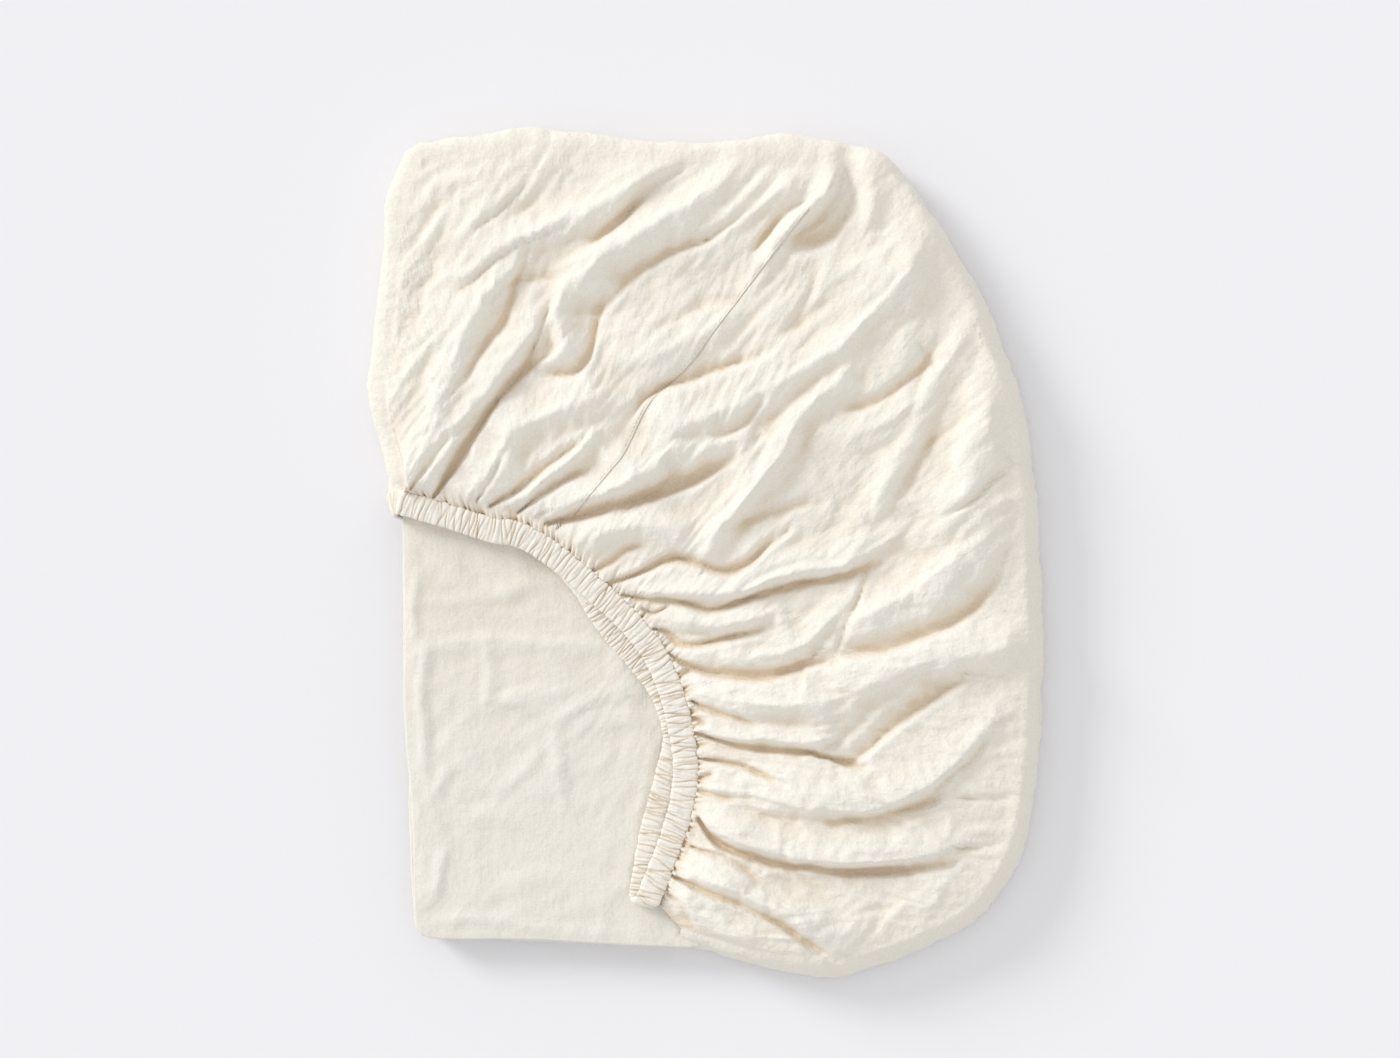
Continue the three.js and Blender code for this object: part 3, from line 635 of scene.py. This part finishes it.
# Lets the drawn pocket buckle as cloth does: a grid over it is simulated, and how far it moves is kept.
def settlePocket(drawn):
    tree = BVHTree.FromObject(drawn, bpy.context.evaluated_depsgraph_get())
    cell = settling["cell"]
    xs, ys = (np.arange(-half, half + 1, cell) for half in settling["halfSize"])
    bm = bmesh.new()
    bmesh.ops.create_grid(bm, x_segments=len(xs) - 1, y_segments=len(ys) - 1, size=0.5)
    outside = []
    for vert in bm.verts:
        x = xs[round((vert.co.x + 0.5) * (len(xs) - 1))]
        y = ys[round((vert.co.y + 0.5) * (len(ys) - 1))]
        hit = tree.ray_cast(Vector((x * metres, y * metres, 1)), Vector((0, 0, -1)))[0]
        if hit is None:
            outside.append(vert)
        else:
            vert.co = hit
    bmesh.ops.delete(bm, geom=outside, context="VERTS")
    loose = [vert for vert in bm.verts if not vert.link_faces]
    bmesh.ops.delete(bm, geom=loose, context="VERTS")
    border = np.array([vert.co[:2] for vert in bm.verts if vert.is_boundary]) / metres
    grid = linked("settling", meshFrom(bm, "settling"))
    before = np.array([vert.co for vert in grid.data.vertices]) / metres
    away = np.array([np.hypot(*(border - place[:2]).T).min() for place in before])
    hold = grid.vertex_groups.new(name="seams")
    for number, distance in enumerate(away):
        weight = 1 - min(distance / settling["held"], 1)
        if weight > 0:
            hold.add([number], weight, "REPLACE")

    modifier = grid.modifiers.new("cloth", "CLOTH")
    spring = modifier.settings
    for name, value in settling["spring"].items():
        setattr(spring, name, value)
    spring.shrink_min = -settling["spare"]
    spring.shrink_max = -settling["spare"]
    spring.vertex_group_mass = "seams"
    spring.effector_weights.gravity = 0
    modifier.collision_settings.use_collision = False
    modifier.collision_settings.use_self_collision = False
    modifier.point_cache.frame_start = 1
    modifier.point_cache.frame_end = settling["frames"]
    for step in range(1, settling["frames"] + 1):
        bpy.context.scene.frame_set(step)
    moved = grid.evaluated_get(bpy.context.evaluated_depsgraph_get())
    after = np.array([vert.co for vert in moved.data.vertices]) / metres
    bpy.context.scene.frame_set(1)
    shift = after - before
    far = np.linalg.norm(shift, axis=1)
    print("settled, moved", far.mean().round(2), "mm on average and", far.max().round(2), "mm at most")
    shift *= np.minimum(1, settling["most"] / np.maximum(far, 1e-6))[:, None]
    table = np.zeros((len(xs), len(ys), 3))
    column = np.round((before[:, 0] - xs[0]) / cell).astype(int)
    row = np.round((before[:, 1] - ys[0]) / cell).astype(int)
    table[column, row] = shift
    settled["table"] = table
    settled["start"] = (xs[0], ys[0])
    bpy.data.objects.remove(grid)


# How far the settled cloth has moved at each point, blended smoothly between the grid's points.
def settledShift(x, y):
    table = settled["table"]
    gx = (x - settled["start"][0]) / settling["cell"]
    gy = (y - settled["start"][1]) / settling["cell"]
    ix, iy = np.floor(gx).astype(int), np.floor(gy).astype(int)
    weights = []
    for t in (gx - ix, gy - iy):
        weights.append(((1 - t) ** 3 / 6, (3 * t ** 3 - 6 * t ** 2 + 4) / 6,
                        (-3 * t ** 3 + 3 * t ** 2 + 3 * t + 1) / 6, t ** 3 / 6))
    found = np.zeros((len(x), 3))
    for i in range(4):
        for j in range(4):
            column = np.clip(ix + i - 1, 0, table.shape[0] - 1)
            row = np.clip(iy + j - 1, 0, table.shape[1] - 1)
            found += table[column, row] * (weights[0][i] * weights[1][j])[:, None]
    return found


# The pocket's finished surface: drawn, settled, finely crinkled, with painted shade in its hollows and at
# its gathers.
def skirtPlace(across, down):
    drawn = drawnSkirt(across, down)
    places, gathers, lying = drawn[:, :3], drawn[:, 3], drawn[:, 4]
    if settled:
        places += settledShift(places[:, 0], places[:, 1])
        x, y = places[:, :2].T
        fine = 0.5 * crinkle(x, y, 8, 41) + 0.5 * runningCrinkle(x, y, 6.5, 42, 43)
        places[:, 2] += pocket["fineCrinkle"] * fine * smoothStep(down, 0.05, 0.2)
        least = pocket["lowestZ"] + (pocket["endZ"] - pocket["lowestZ"]) * lying
        places[:, 2] = np.maximum(places[:, 2], least)
    x, y, z = places.T
    # painted shade: the lower a point lies against its surroundings, and the deeper its gather, the darker
    # and warmer it is painted
    concave = (broadHeight(x, y, z, shading["broadReach"]) - z) / shading["broadDepth"]
    concave += (broadHeight(x, y, z, shading["nearReach"]) - z) / shading["nearDepth"]
    shade = shading["plain"] + concave * (1 - smoothStep(down, 0.86, 0.97))
    shade += shading["gather"] * np.clip(gathers, 0, 3) * smoothStep(-down, -0.12, 0)
    shade += shading["deepGather"] * np.clip(gathers - 1.2, 0, 5) * smoothStep(-down, -0.6, -0.25)
    return withColumns(places, np.clip(shade, 0, 1))


# The soft wall round the pocket's edge: insets from the outline, and shares of the rim's height. Along
# the straight right side it has a ledge, where the cloth's folded edge stands out.
wallProfile = Line([(10, 1), (6, 0.965), (2.6, 0.86), (0.8, 0.64), (0.8, 0.36), (3.6, 0.09), (8, 0)])
ledgeProfile = Line([
    (10, 1), (7.4, 0.93), (4.8, 0.77), (2.9, 0.58), (1.2, 0.42), (0.1, 0.28), (1.2, 0.1), (8, 0),
])

wall = {
    "rows": 14,
    "length": 1150,         # round the pocket, for the noise alone
    "puff": 1.3,
    "crinkle": 0.9,
    "ledgeFrom": 0.43,      # shares of the outline
    "ledgeWhole": 0.5,
    "laid": (0.62, 0.03, 0.19),
}


def wallPlace(across, down):
    rimPlace = skirtPlace(across, np.ones(across.shape))
    rim, rimShade = rimPlace[:, 2:].T
    ledge = smoothStep(across, wall["ledgeFrom"], wall["ledgeWhole"])[:, None]
    profile = wallProfile.at(down) * (1 - ledge) + ledgeProfile.at(down) * ledge
    along = across * wall["length"]
    puff = wall["puff"] * np.sin(math.pi * np.clip(down * 1.15, 0, 1)) * softNoise(along, down * 60, 26, 51)
    puff += wall["crinkle"] * np.sin(math.pi * down) * crinkle(along, down * 30, 14, 52)
    at = outline.offset(across, puff - profile[:, 0])
    fromRim = smoothStep(down, 0, 0.4)
    strayed = rimPlace[:, :2] - outline.offset(across, -pocket["rimInset"])
    at += strayed * (1 - fromRim)[:, None]
    # painted shade: it fades from the rim's to the plain value down the wall
    shade = rimShade + (cloth["shade"] - rimShade) * fromRim
    return withColumns(at, cloth["lowestZ"] + profile[:, 1] * (rim - cloth["lowestZ"]), shade)


# The edge of a layer of the pile: first the part inside the pocket, then the open one.
def layerEdge(layer, share):
    coveredShare = cloth["openFrom"] / cloth["columns"]
    inset = cloth["lowestInset"] if layer == 0 else cloth["pileInset"]
    covered = outline.offset(np.clip(share / coveredShare, 0, 1), -inset)
    openShare = np.clip((share - coveredShare) / (1 - coveredShare), 0, 1)
    pair = layer // 2
    shift = cloth["sway"] * np.sin(1.7 * pair + 20 * openShare)
    shift += cloth["swayNoise"] * softNoise(openShare * 370, openShare * 0 + pair * 9.1, 40, 61)
    edge = openEdge.offset(openShare, shift * np.sin(math.pi * openShare) ** 0.5)
    return np.where((share <= coveredShare)[:, None], covered, edge)


def layerZ(layer):
    return cloth["lowestZ"] + cloth["pitch"] * layer


panel = {
    "creases": 2.0,
    "crinkle": 0.8,
    "fineCrinkle": 0.4,
    "swell": 0.7,
    "ringCrowding": 0.6,    # below 1, its rings lie closer together towards its edge
    # painted shade in the creases' hollows
    "creaseShade": 0.1,
    # painted shadow that the pocket and casing cast on the panel
    "paintedPocketShadow": 0.16,    # how much deeper the colour is next to the pocket
}


def panelRelief(x, y):
    warpX, warpY = x + 1.4 * softNoise(x, y, 22, 71), y + 1.4 * softNoise(x, y, 22, 72)
    height = np.zeros(x.shape)
    for number, (crest, leftWidth, rightWidth, rise) in enumerate(panelCreases):
        crease = (crest, leftWidth * 1.5, rightWidth * 1.3, rise)
        height += panel["creases"] * foldHeight(crease, warpX, warpY, (), number, 0.55)
    height += panel["crinkle"] * crinkle(x, y, 34, 73) + panel["fineCrinkle"] * crinkle(x, y, 13, 74)
    return height + panel["swell"] * softNoise(x, y, 45, 75)


def layerPlacer(layer):
    shows = layer == cloth["layers"] - 1

    def place(share, out):
        edge = layerEdge(layer, share)
        centre = np.array(cloth["centre"])
        ring = out ** panel["ringCrowding"] if shows else out
        at = centre + (edge - centre) * ring[:, None]
        z = layerZ(layer) * np.ones(len(at))
        if not shows:
            return withColumns(at, z)
        relief = panelRelief(at[:, 0], at[:, 1])
        z += relief * (1 - smoothStep(out, 0.96, 1))
        # painted shade: darker in the creases' hollows and towards the pocket, where its shadow falls
        shade = cloth["shade"] - panel["creaseShade"] * relief
        shade += panel["paintedPocketShadow"] * smoothStep(at[:, 1], -110, -20)
        return withColumns(at, z, np.clip(shade, 0, 1))

    return place


# A bend from one layer down to the next, over a part of their edges.
def bendPlacer(layer, first, last):
    def place(across, down):
        share = first + (last - first) * across
        high, low = layerEdge(layer, share), layerEdge(layer - 1, share)
        ahead = layerEdge(layer, np.clip(share + 0.002, 0, 1))
        heading = ahead - layerEdge(layer, np.clip(share - 0.002, 0, 1))
        out = np.stack([-heading[:, 1], heading[:, 0]], -1)
        out /= np.linalg.norm(out, axis=1, keepdims=True)
        angle = math.pi * down
        radius = cloth["pitch"] / 2
        at = high + (low - high) * down[:, None] + out * (cloth["bulge"] * radius * np.sin(angle))[:, None]
        return withColumns(at, layerZ(layer) - radius * (1 - np.cos(angle)))

    return place


seamMarks = {
    "lowestZ": 18.8,        # the seam shows on the pocket, above this height
    "shown": 15,            # to each side
    "furthest": 20,         # the greatest distance written
}


# Writes each point's distance from the corner seam, how far along it is and whether it shows there.
def markSeam(mesh):
    places = np.zeros(len(mesh.vertices) * 3)
    mesh.vertices.foreach_get("co", places)
    x, y, z = places.reshape(-1, 3).T / metres
    line = Line(cornerSeam, 7)
    away, side, along = nearLine(line.points, x, y)
    shown = (z > seamMarks["lowestZ"]) & (along > 0.001) & (along < 0.999) & (away < seamMarks["shown"])
    across = np.sign(side) * np.minimum(away, seamMarks["furthest"]) * metres
    mark(mesh, "seam", np.stack([across, along * line.length * metres, shown], -1))


# The inner skirt, from the casing's lower run to the pile's edge inside the pocket.
def innerPlace(across, down):
    mouth = lower.offset(1 - across, -pocket["mouthOffset"])
    rim = outline.offset(across, -cloth["pileInset"])
    return withColumns(mouth + (rim - mouth) * down[:, None], casing["lowerZ"])


def makeSheet():
    drawn = surface("drawn", 280, 90, drawnSkirt)
    settlePocket(drawn)
    bpy.data.objects.remove(drawn)
    parts = [
        surface("pocket", pocket["columns"], pocket["rows"], skirtPlace, laid=pocket["laid"]),
        surface("wall", pocket["columns"], wall["rows"], wallPlace, laid=wall["laid"]),
    ]
    columns, wrinkled = cloth["columns"], cloth["wrinkled"]
    for layer in range(cloth["layers"]):
        rings = cloth["panelRings"] if layer == cloth["layers"] - 1 else 2
        even = layer % 2 == 0
        parts.append(surface("layer", columns, rings, layerPlacer(layer), flip=even, wrinkled=wrinkled))
    for layer in range(1, cloth["layers"]):
        even = layer % 2 == 0
        first, last = cloth["coveredBends"] if even else (cloth["openFrom"], columns)
        bend = bendPlacer(layer, first / columns, last / columns)
        parts.append(surface("bend", last - first, 5, bend, flip=even, wrinkled=wrinkled))
    parts.append(surface("inner", 120, 5, innerPlace))
    sheet = parts[0]
    chosen = {"active_object": sheet, "object": sheet}
    with bpy.context.temp_override(**chosen, selected_editable_objects=parts, selected_objects=parts):
        bpy.ops.object.join()
    merge(sheet, 0.00002)
    sheet.name = "cotton_sheet"
    markSeam(sheet.data)
    return sheet


# The casing's path: down the pile's side, along the upper run, round the tip and back on the lower run.
# Each station has a place, the way across the casing, the kind of run and the distance along it. The
# kind is 1 for the upper run, 2 for the part of the lower run that shows, and 0 for the rest of it.
def casingPath():
    stations = []
    side = Line([*sideRun, (*upperRun[0], casing["upperZ"])])
    count = int(side.length / casing["step"])
    for i in range(count):
        share = i / count
        turned = np.array(casing["endAcross"]) * (1 - share ** 3) + upper.left(0) * share ** 3
        stations.append((*side.at(share), *(turned / np.hypot(*turned)), 1, (share - 1) * side.length))
    count = int(upper.length / casing["step"])
    for i in range(count + 1):
        share = i / count
        stations.append((*upper.at(share), casing["upperZ"], *upper.left(share), 1, share * upper.length))
    start, end = upper.at(1), lower.at(0)
    leftStart, leftEnd = upper.left(1), -lower.left(0)
    radius = (casing["upperZ"] - casing["lowerZ"]) / 2
    for i in range(1, casing["tipRings"]):
        share = i / casing["tipRings"]
        angle = math.pi * (0.5 - share)
        place = start + (end - start) * share + upper.heading(1) * radius * math.cos(angle)
        left = leftStart + (leftEnd - leftStart) * share
        left /= np.linalg.norm(left)
        z = casing["lowerZ"] + radius * (1 + math.sin(angle))
        stations.append((*place, z, *left, 1, upper.length + casing["tipLength"] * share))
    count = int(lower.length / casing["step"])
    for i in range(count + 1):
        share = i / count
        kind = 2 if share < casing["shownShare"] + 0.05 else 0
        along = share * lower.length
        stations.append((*lower.at(share), casing["lowerZ"], *-lower.left(share), kind, along))
    return np.array(stations)


def makeCasing():
    path = casingPath()
    centre, across = path[:, :3], withColumns(path[:, 3:5], 0)
    ahead = np.gradient(centre, axis=0)
    ahead /= np.linalg.norm(ahead, axis=1, keepdims=True)
    up = np.cross(ahead, across)
    up /= np.linalg.norm(up, axis=1, keepdims=True)

    def place(lengthwise, turn):
        station = np.clip(np.round(lengthwise * (len(path) - 1)).astype(int), 0, len(path) - 1)
        kind, along = path[station, 5], path[station, 6]
        c, s = np.cos(2 * math.pi * turn), np.sin(2 * math.pi * turn)
        side = np.sign(c) * np.abs(c) ** 0.8
        rise = np.sign(s) * np.abs(s) ** 0.6
        pleatHeight, shade = np.zeros(len(station)), np.full(len(station), casing["shade"])
        for run, pleats in ((1, upperPleats), (2, lowerPleats)):
            here = kind == run
            for first, second in zip(pleats, pleats[1:]):
                start, end = (pleat["at"] + pleat["skew"] * side for pleat in (first, second))
                inside = here & (along >= start) & (along < end)
                gap = (end - start)[inside]
                share = (along - start)[inside] / gap
                bulge = np.sin(math.pi * share) ** 0.5 - 0.5
                pleatHeight[inside] += casing["puff"] * bulge * gap / 3
            for pleat in pleats:
                offset = along - pleat["at"] - pleat["skew"] * side
                offset += 0.4 * np.sin(2.6 * side + 8 * pleat["fade"])
                close = here & (np.abs(offset) < 1.5)
                strength = pleat["depth"] * np.clip(1 + 1.5 * pleat["fade"] * side, 0, 1.5)
                groove = casing["groove"] * strength * hump(offset, casing["grooveWidth"])
                # painted shade in the pleat's groove
                grooveShadow = casing["grooveShade"] * strength * hump(offset, casing["shadeWidth"])
                pleatHeight[close] -= groove[close]
                shade[close] += grooveShadow[close]
        half = casing["halfThickness"] + pleatHeight * np.abs(rise) ** 0.5
        half += 0.4 * softNoise(along, side * 3 + kind * 9, 3, 92)
        wide = casing["width"] / 2 + 0.5 * pleatHeight + 0.35 * softNoise(along, kind * 7, 5, 91)
        offsets = across[station] * (wide * side)[:, None] + up[station] * (half * rise)[:, None]
        return withColumns(centre[station] + offsets, np.clip(shade, 0, 1))

    piece = surface("gathered_casing", len(path) - 1, casing["around"], place)
    merge(piece, 0.00001, closed=True)
    return piece


# A node with its settings and inputs. Where an output is given for an input, the two are linked.
def addNode(tree, kind, settings, inputs):
    node = tree.nodes.new("ShaderNode" + kind)
    for name, value in settings.items():
        setattr(node, name, value)
    for name, value in inputs.items():
        if isinstance(value, bpy.types.NodeSocket):
            tree.links.new(value, node.inputs[name])
        else:
            node.inputs[name].default_value = value
    return node


def addMaths(tree, operation, first, second=0.0):
    return addNode(tree, "Math", {"operation": operation}, {0: first, 1: second}).outputs[0]


def addTint(tree, first, second, factor=1.0):
    settings = {"data_type": "RGBA", "blend_type": "MULTIPLY"}
    return addNode(tree, "Mix", settings, {"Factor": factor, "A": first, "B": second}).outputs["Result"]


def addRamp(tree, value, stops):
    node = addNode(tree, "ValToRGB", {}, {"Fac": value})
    elements = node.color_ramp.elements
    for number, (position, colour) in enumerate(stops):
        element = elements[number] if number < 2 else elements.new(position)
        element.position, element.color = position, (*colour, 1)
    return node.outputs["Color"]


# A node group that turns marks on the mesh into a colour and a height, with its inputs and outputs.
def newGroup(name, inputs):
    group = bpy.data.node_groups.new(name, "ShaderNodeTree")
    for label, kind in inputs:
        group.interface.new_socket(label, in_out="INPUT", socket_type="NodeSocket" + kind)
    group.interface.new_socket("Colour", in_out="OUTPUT", socket_type="NodeSocketColor")
    group.interface.new_socket("Height", in_out="OUTPUT", socket_type="NodeSocketFloat")
    return group, group.nodes.new("NodeGroupInput").outputs, group.nodes.new("NodeGroupOutput").inputs


finish = {
    "sheet": (0.892, 0.852, 0.785),
    "sheetCrinkled": 1.3,
    "casing": (0.90, 0.865, 0.81),
    "casingCrinkled": 0.8,
    # painted shade: how the cloth's colour darkens and warms from its crests to its hollows
    "shadeStops": [             # how the cloth's colour deepens from its crests to its hollows
        (0, (1, 1, 1)), (1, (0.88, 0.785, 0.665)), (0.35, (0.973, 0.96, 0.935)),
        (0.7, (0.943, 0.903, 0.848)),
    ],
    "speckleStops": [(0.3, (0.935, 0.93, 0.91)), (0.7, (1, 1, 1))],
    # painted shade: the pile's layers and panel, whose wrinkle mark is lower, are made a little darker
    "pileShadeStops": [(0.5, (0.955, 0.962, 0.975)), (1, (1, 1, 1))],
    "weaveScale": 181.818,      # threads 1.7 mm apart
    "weaveHeight": 0.00001,     # heights in metres
    "slubHeight": 0.00008,
    "bump": 0.8,
    "roughness": 0.92,
    "specular": 0.2,
    "sheen": 0.1,
    "sheenRoughness": 0.5,
}


# The cotton's colour, threads and small creases, with painted shade in its hollows.
def clothFinish():
    inputs = [("Shade", "Float"), ("Lay", "Vector"), ("Crinkle", "Float"), ("Base", "Color")]
    group, given, out = newGroup("wovenCloth", inputs)
    place = group.nodes.new("ShaderNodeTexCoord").outputs["Object"]
    maths, tinted, ramped = (partial(add, group) for add in (addMaths, addTint, addRamp))

    def waves(direction):
        return addNode(group, "TexWave", {"bands_direction": direction}, {
            "Vector": place, "Scale": finish["weaveScale"], "Distortion": 1.2, "Detail": 1,
            "Detail Scale": 0.3,
        }).outputs["Fac"]

    def noiseAt(scale, detail, stretch=(1, 1, 1), where=place):
        spot = addNode(group, "Mapping", {}, {"Vector": where, "Scale": stretch}).outputs["Vector"]
        inputs = {"Vector": spot, "Scale": scale, "Detail": detail}
        return addNode(group, "TexNoise", {}, inputs).outputs["Fac"]

    def creased(scale, detail, stretch, height, where=place):
        away = maths("ABSOLUTE", maths("SUBTRACT", noiseAt(scale, detail, stretch, where), 0.5))
        return maths("MULTIPLY", away, height)

    wrinkled = addNode(group, "SeparateXYZ", {}, {0: given["Lay"]}).outputs["Z"]
    weave = maths("MULTIPLY", maths("ADD", waves("X"), waves("Y")), finish["weaveHeight"])
    slubs = maths("ADD", noiseAt(1500, 2, (1, 0.12, 1)), noiseAt(1500, 2, (0.12, 1, 1)))
    threads = maths("ADD", weave, maths("MULTIPLY", slubs, finish["slubHeight"]))
    folds = maths("ADD", creased(55, 3, (1, 0.7, 1), -0.0026), creased(210, 3, (1, 1, 1), -0.0009))
    folds = maths("ADD", folds, creased(260, 2, (1, 0.2, 1), -0.0006, given["Lay"]))
    crinkled = maths("MULTIPLY", maths("MULTIPLY", folds, given["Crinkle"]), wrinkled)
    group.links.new(maths("ADD", crinkled, threads), out["Height"])

    speckle = ramped(noiseAt(900, 2), finish["speckleStops"])
    # painted shade, darker and warmer towards the hollows
    paintedShade = ramped(given["Shade"], finish["shadeStops"])
    # painted shade, a little darker on the pile's layers and panel
    pileShade = ramped(wrinkled, finish["pileShadeStops"])
    colour = tinted(tinted(tinted(given["Base"], speckle), paintedShade), pileShade)
    group.links.new(colour, out["Colour"])
    return group


seamLook = {                    # in metres
    "groove": 0.0007,
    "grooveDepth": 0.0005,
    "lap": 0.0009,              # over which the lap comes up beside the groove
    "lapHeight": 0.0004,
    "lapEnd": (0.002, 0.007),
    "stitchLine": 0.0015,       # from the groove
    "stitchHalf": (0.0001, 0.0005),
    "stitchLength": 0.0013,
    "stitchGap": (0.0005, 0.0008),
    "stitchDepth": 0.0002,
    # the colour that the groove's painted shadow and the stitches are tinted towards
    "colour": (0.74, 0.66, 0.54, 1),
    "grooveShadowTint": 0.5,
    "stitchTint": 0.25,
}


# The seam's narrow groove with its painted shadow, the lap beside it and its row of stitches, from the
# piece's own seam marks.
def seamFinish():
    group, given, out = newGroup("lappedSeam", [("Seam", "Vector"), ("Base", "Color")])
    maths = partial(addMaths, group)

    def band(value, ends, atLow, atHigh):
        inputs = {"From Min": ends[0], "From Max": ends[1], "To Min": atLow, "To Max": atHigh}
        inputs["Value"] = value
        return addNode(group, "MapRange", {"interpolation_type": "SMOOTHSTEP"}, inputs).outputs["Result"]

    away, along, shown = addNode(group, "SeparateXYZ", {}, {0: given["Seam"]}).outputs
    groove = maths("MULTIPLY", band(maths("ABSOLUTE", away), (0, seamLook["groove"]), 1, 0), shown)
    lap = band(away, (0, seamLook["lap"]), 0, seamLook["lapHeight"])
    lapEnd = band(away, seamLook["lapEnd"], 0, -seamLook["lapHeight"])
    fromStitches = maths("ABSOLUTE", maths("SUBTRACT", away, seamLook["stitchLine"]))
    beside = band(fromStitches, seamLook["stitchHalf"], 1, 0)
    dashes = band(maths("PINGPONG", along, seamLook["stitchLength"]), seamLook["stitchGap"], 0, 1)
    stitches = maths("MULTIPLY", maths("MULTIPLY", beside, dashes), shown)
    height = maths("MULTIPLY", maths("ADD", lap, lapEnd), shown)
    height = maths("ADD", height, maths("MULTIPLY", groove, -seamLook["grooveDepth"]))
    height = maths("ADD", height, maths("MULTIPLY", stitches, -seamLook["stitchDepth"]))
    group.links.new(height, out["Height"])
    # painted shadow in the seam's groove
    grooveShadowTint = maths("MULTIPLY", groove, seamLook["grooveShadowTint"])
    stitchTint = maths("MULTIPLY", stitches, seamLook["stitchTint"])
    colour = addTint(group, given["Base"], seamLook["colour"], maths("MAXIMUM", grooveShadowTint, stitchTint))
    group.links.new(colour, out["Colour"])
    return group


def clothMaterial(name, cover, colour, crinkled, seam=None):
    material = bpy.data.materials.new(name)
    material.use_nodes = True
    tree = material.node_tree
    shader = tree.nodes["Principled BSDF"]

    def marked(attribute, output):
        return addNode(tree, "Attribute", {"attribute_name": attribute}, {}).outputs[output]

    inputs = {
        "Shade": marked("shade", "Fac"), "Lay": marked("lay", "Vector"), "Base": (*colour, 1),
        "Crinkle": crinkled,
    }
    woven = addNode(tree, "Group", {"node_tree": cover}, inputs).outputs
    shown, height = woven["Colour"], woven["Height"]
    if seam:
        inputs = {"Seam": marked("seam", "Vector"), "Base": shown}
        sewn = addNode(tree, "Group", {"node_tree": seam}, inputs).outputs
        shown, height = sewn["Colour"], addMaths(tree, "ADD", height, sewn["Height"])
    inputs = {"Strength": finish["bump"], "Distance": 1.0, "Height": height}
    bump = addNode(tree, "Bump", {}, inputs)
    tree.links.new(shown, shader.inputs["Base Color"])
    tree.links.new(bump.outputs["Normal"], shader.inputs["Normal"])
    shader.inputs["Roughness"].default_value = finish["roughness"]
    shader.inputs["Specular IOR Level"].default_value = finish["specular"]
    shader.inputs["Sheen Weight"].default_value = finish["sheen"]
    shader.inputs["Sheen Roughness"].default_value = finish["sheenRoughness"]
    return material


studio = {
    "floorSize": 6,
    "floorColour": (0.86, 0.857, 0.885, 1),
    "floorRoughness": 0.9,
    "worldColour": (1, 1, 1, 1),
    "worldStrength": 0.815,
    "windowPlace": (-1.5, 1.1, 0.8),
    "windowSpread": 20,
    "windowPower": 1.62,
    "lens": 85,
    "sensor": 36,
    "cameraPlace": (-0.003, 0.012, 1.67),
}


def makeStage():
    bm = bmesh.new()
    bmesh.ops.create_grid(bm, x_segments=2, y_segments=2, size=studio["floorSize"])
    floor = linked("floor", meshFrom(bm, "floor"))
    material = bpy.data.materials.new("paleFloor")
    material.use_nodes = True
    shader = material.node_tree.nodes["Principled BSDF"]
    shader.inputs["Base Color"].default_value = studio["floorColour"]
    shader.inputs["Roughness"].default_value = studio["floorRoughness"]
    floor.data.materials.append(material)

    world = bpy.data.worlds.new("studio")
    world.use_nodes = True
    background = world.node_tree.nodes["Background"]
    background.inputs["Color"].default_value = studio["worldColour"]
    background.inputs["Strength"].default_value = studio["worldStrength"]
    light = bpy.data.lights.new("window", "SUN")
    light.angle = math.radians(studio["windowSpread"])
    light.energy = studio["windowPower"]
    window = linked("window", light)
    window.location = studio["windowPlace"]
    window.rotation_euler = Vector(studio["windowPlace"]).to_track_quat("Z", "Y").to_euler()

    camera = linked("camera", bpy.data.cameras.new("camera"))
    camera.data.lens = studio["lens"]
    camera.data.sensor_width = studio["sensor"]
    camera.location = studio["cameraPlace"]
    scene = bpy.context.scene
    scene.world = world
    scene.camera = camera
    scene.view_settings.view_transform = "Standard"
    scene.view_settings.look = "None"


makeStage()
print("stage made")

cover = clothFinish()
cottonCloth = clothMaterial("cottonCloth", cover, finish["sheet"], finish["sheetCrinkled"], seamFinish())
casingCloth = clothMaterial("casingCloth", cover, finish["casing"], finish["casingCrinkled"])

sheet = makeSheet()
sheet.data.materials.clear()
sheet.data.materials.append(cottonCloth)
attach(sheet, "root")
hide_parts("sheet")
print("sheet made,", len(sheet.data.polygons), "faces")

gathered = makeCasing()
gathered.data.materials.append(casingCloth)
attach(gathered, "root")
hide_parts("elastic_casing")
print("casing made,", len(gathered.data.polygons), "faces")

print("finished")
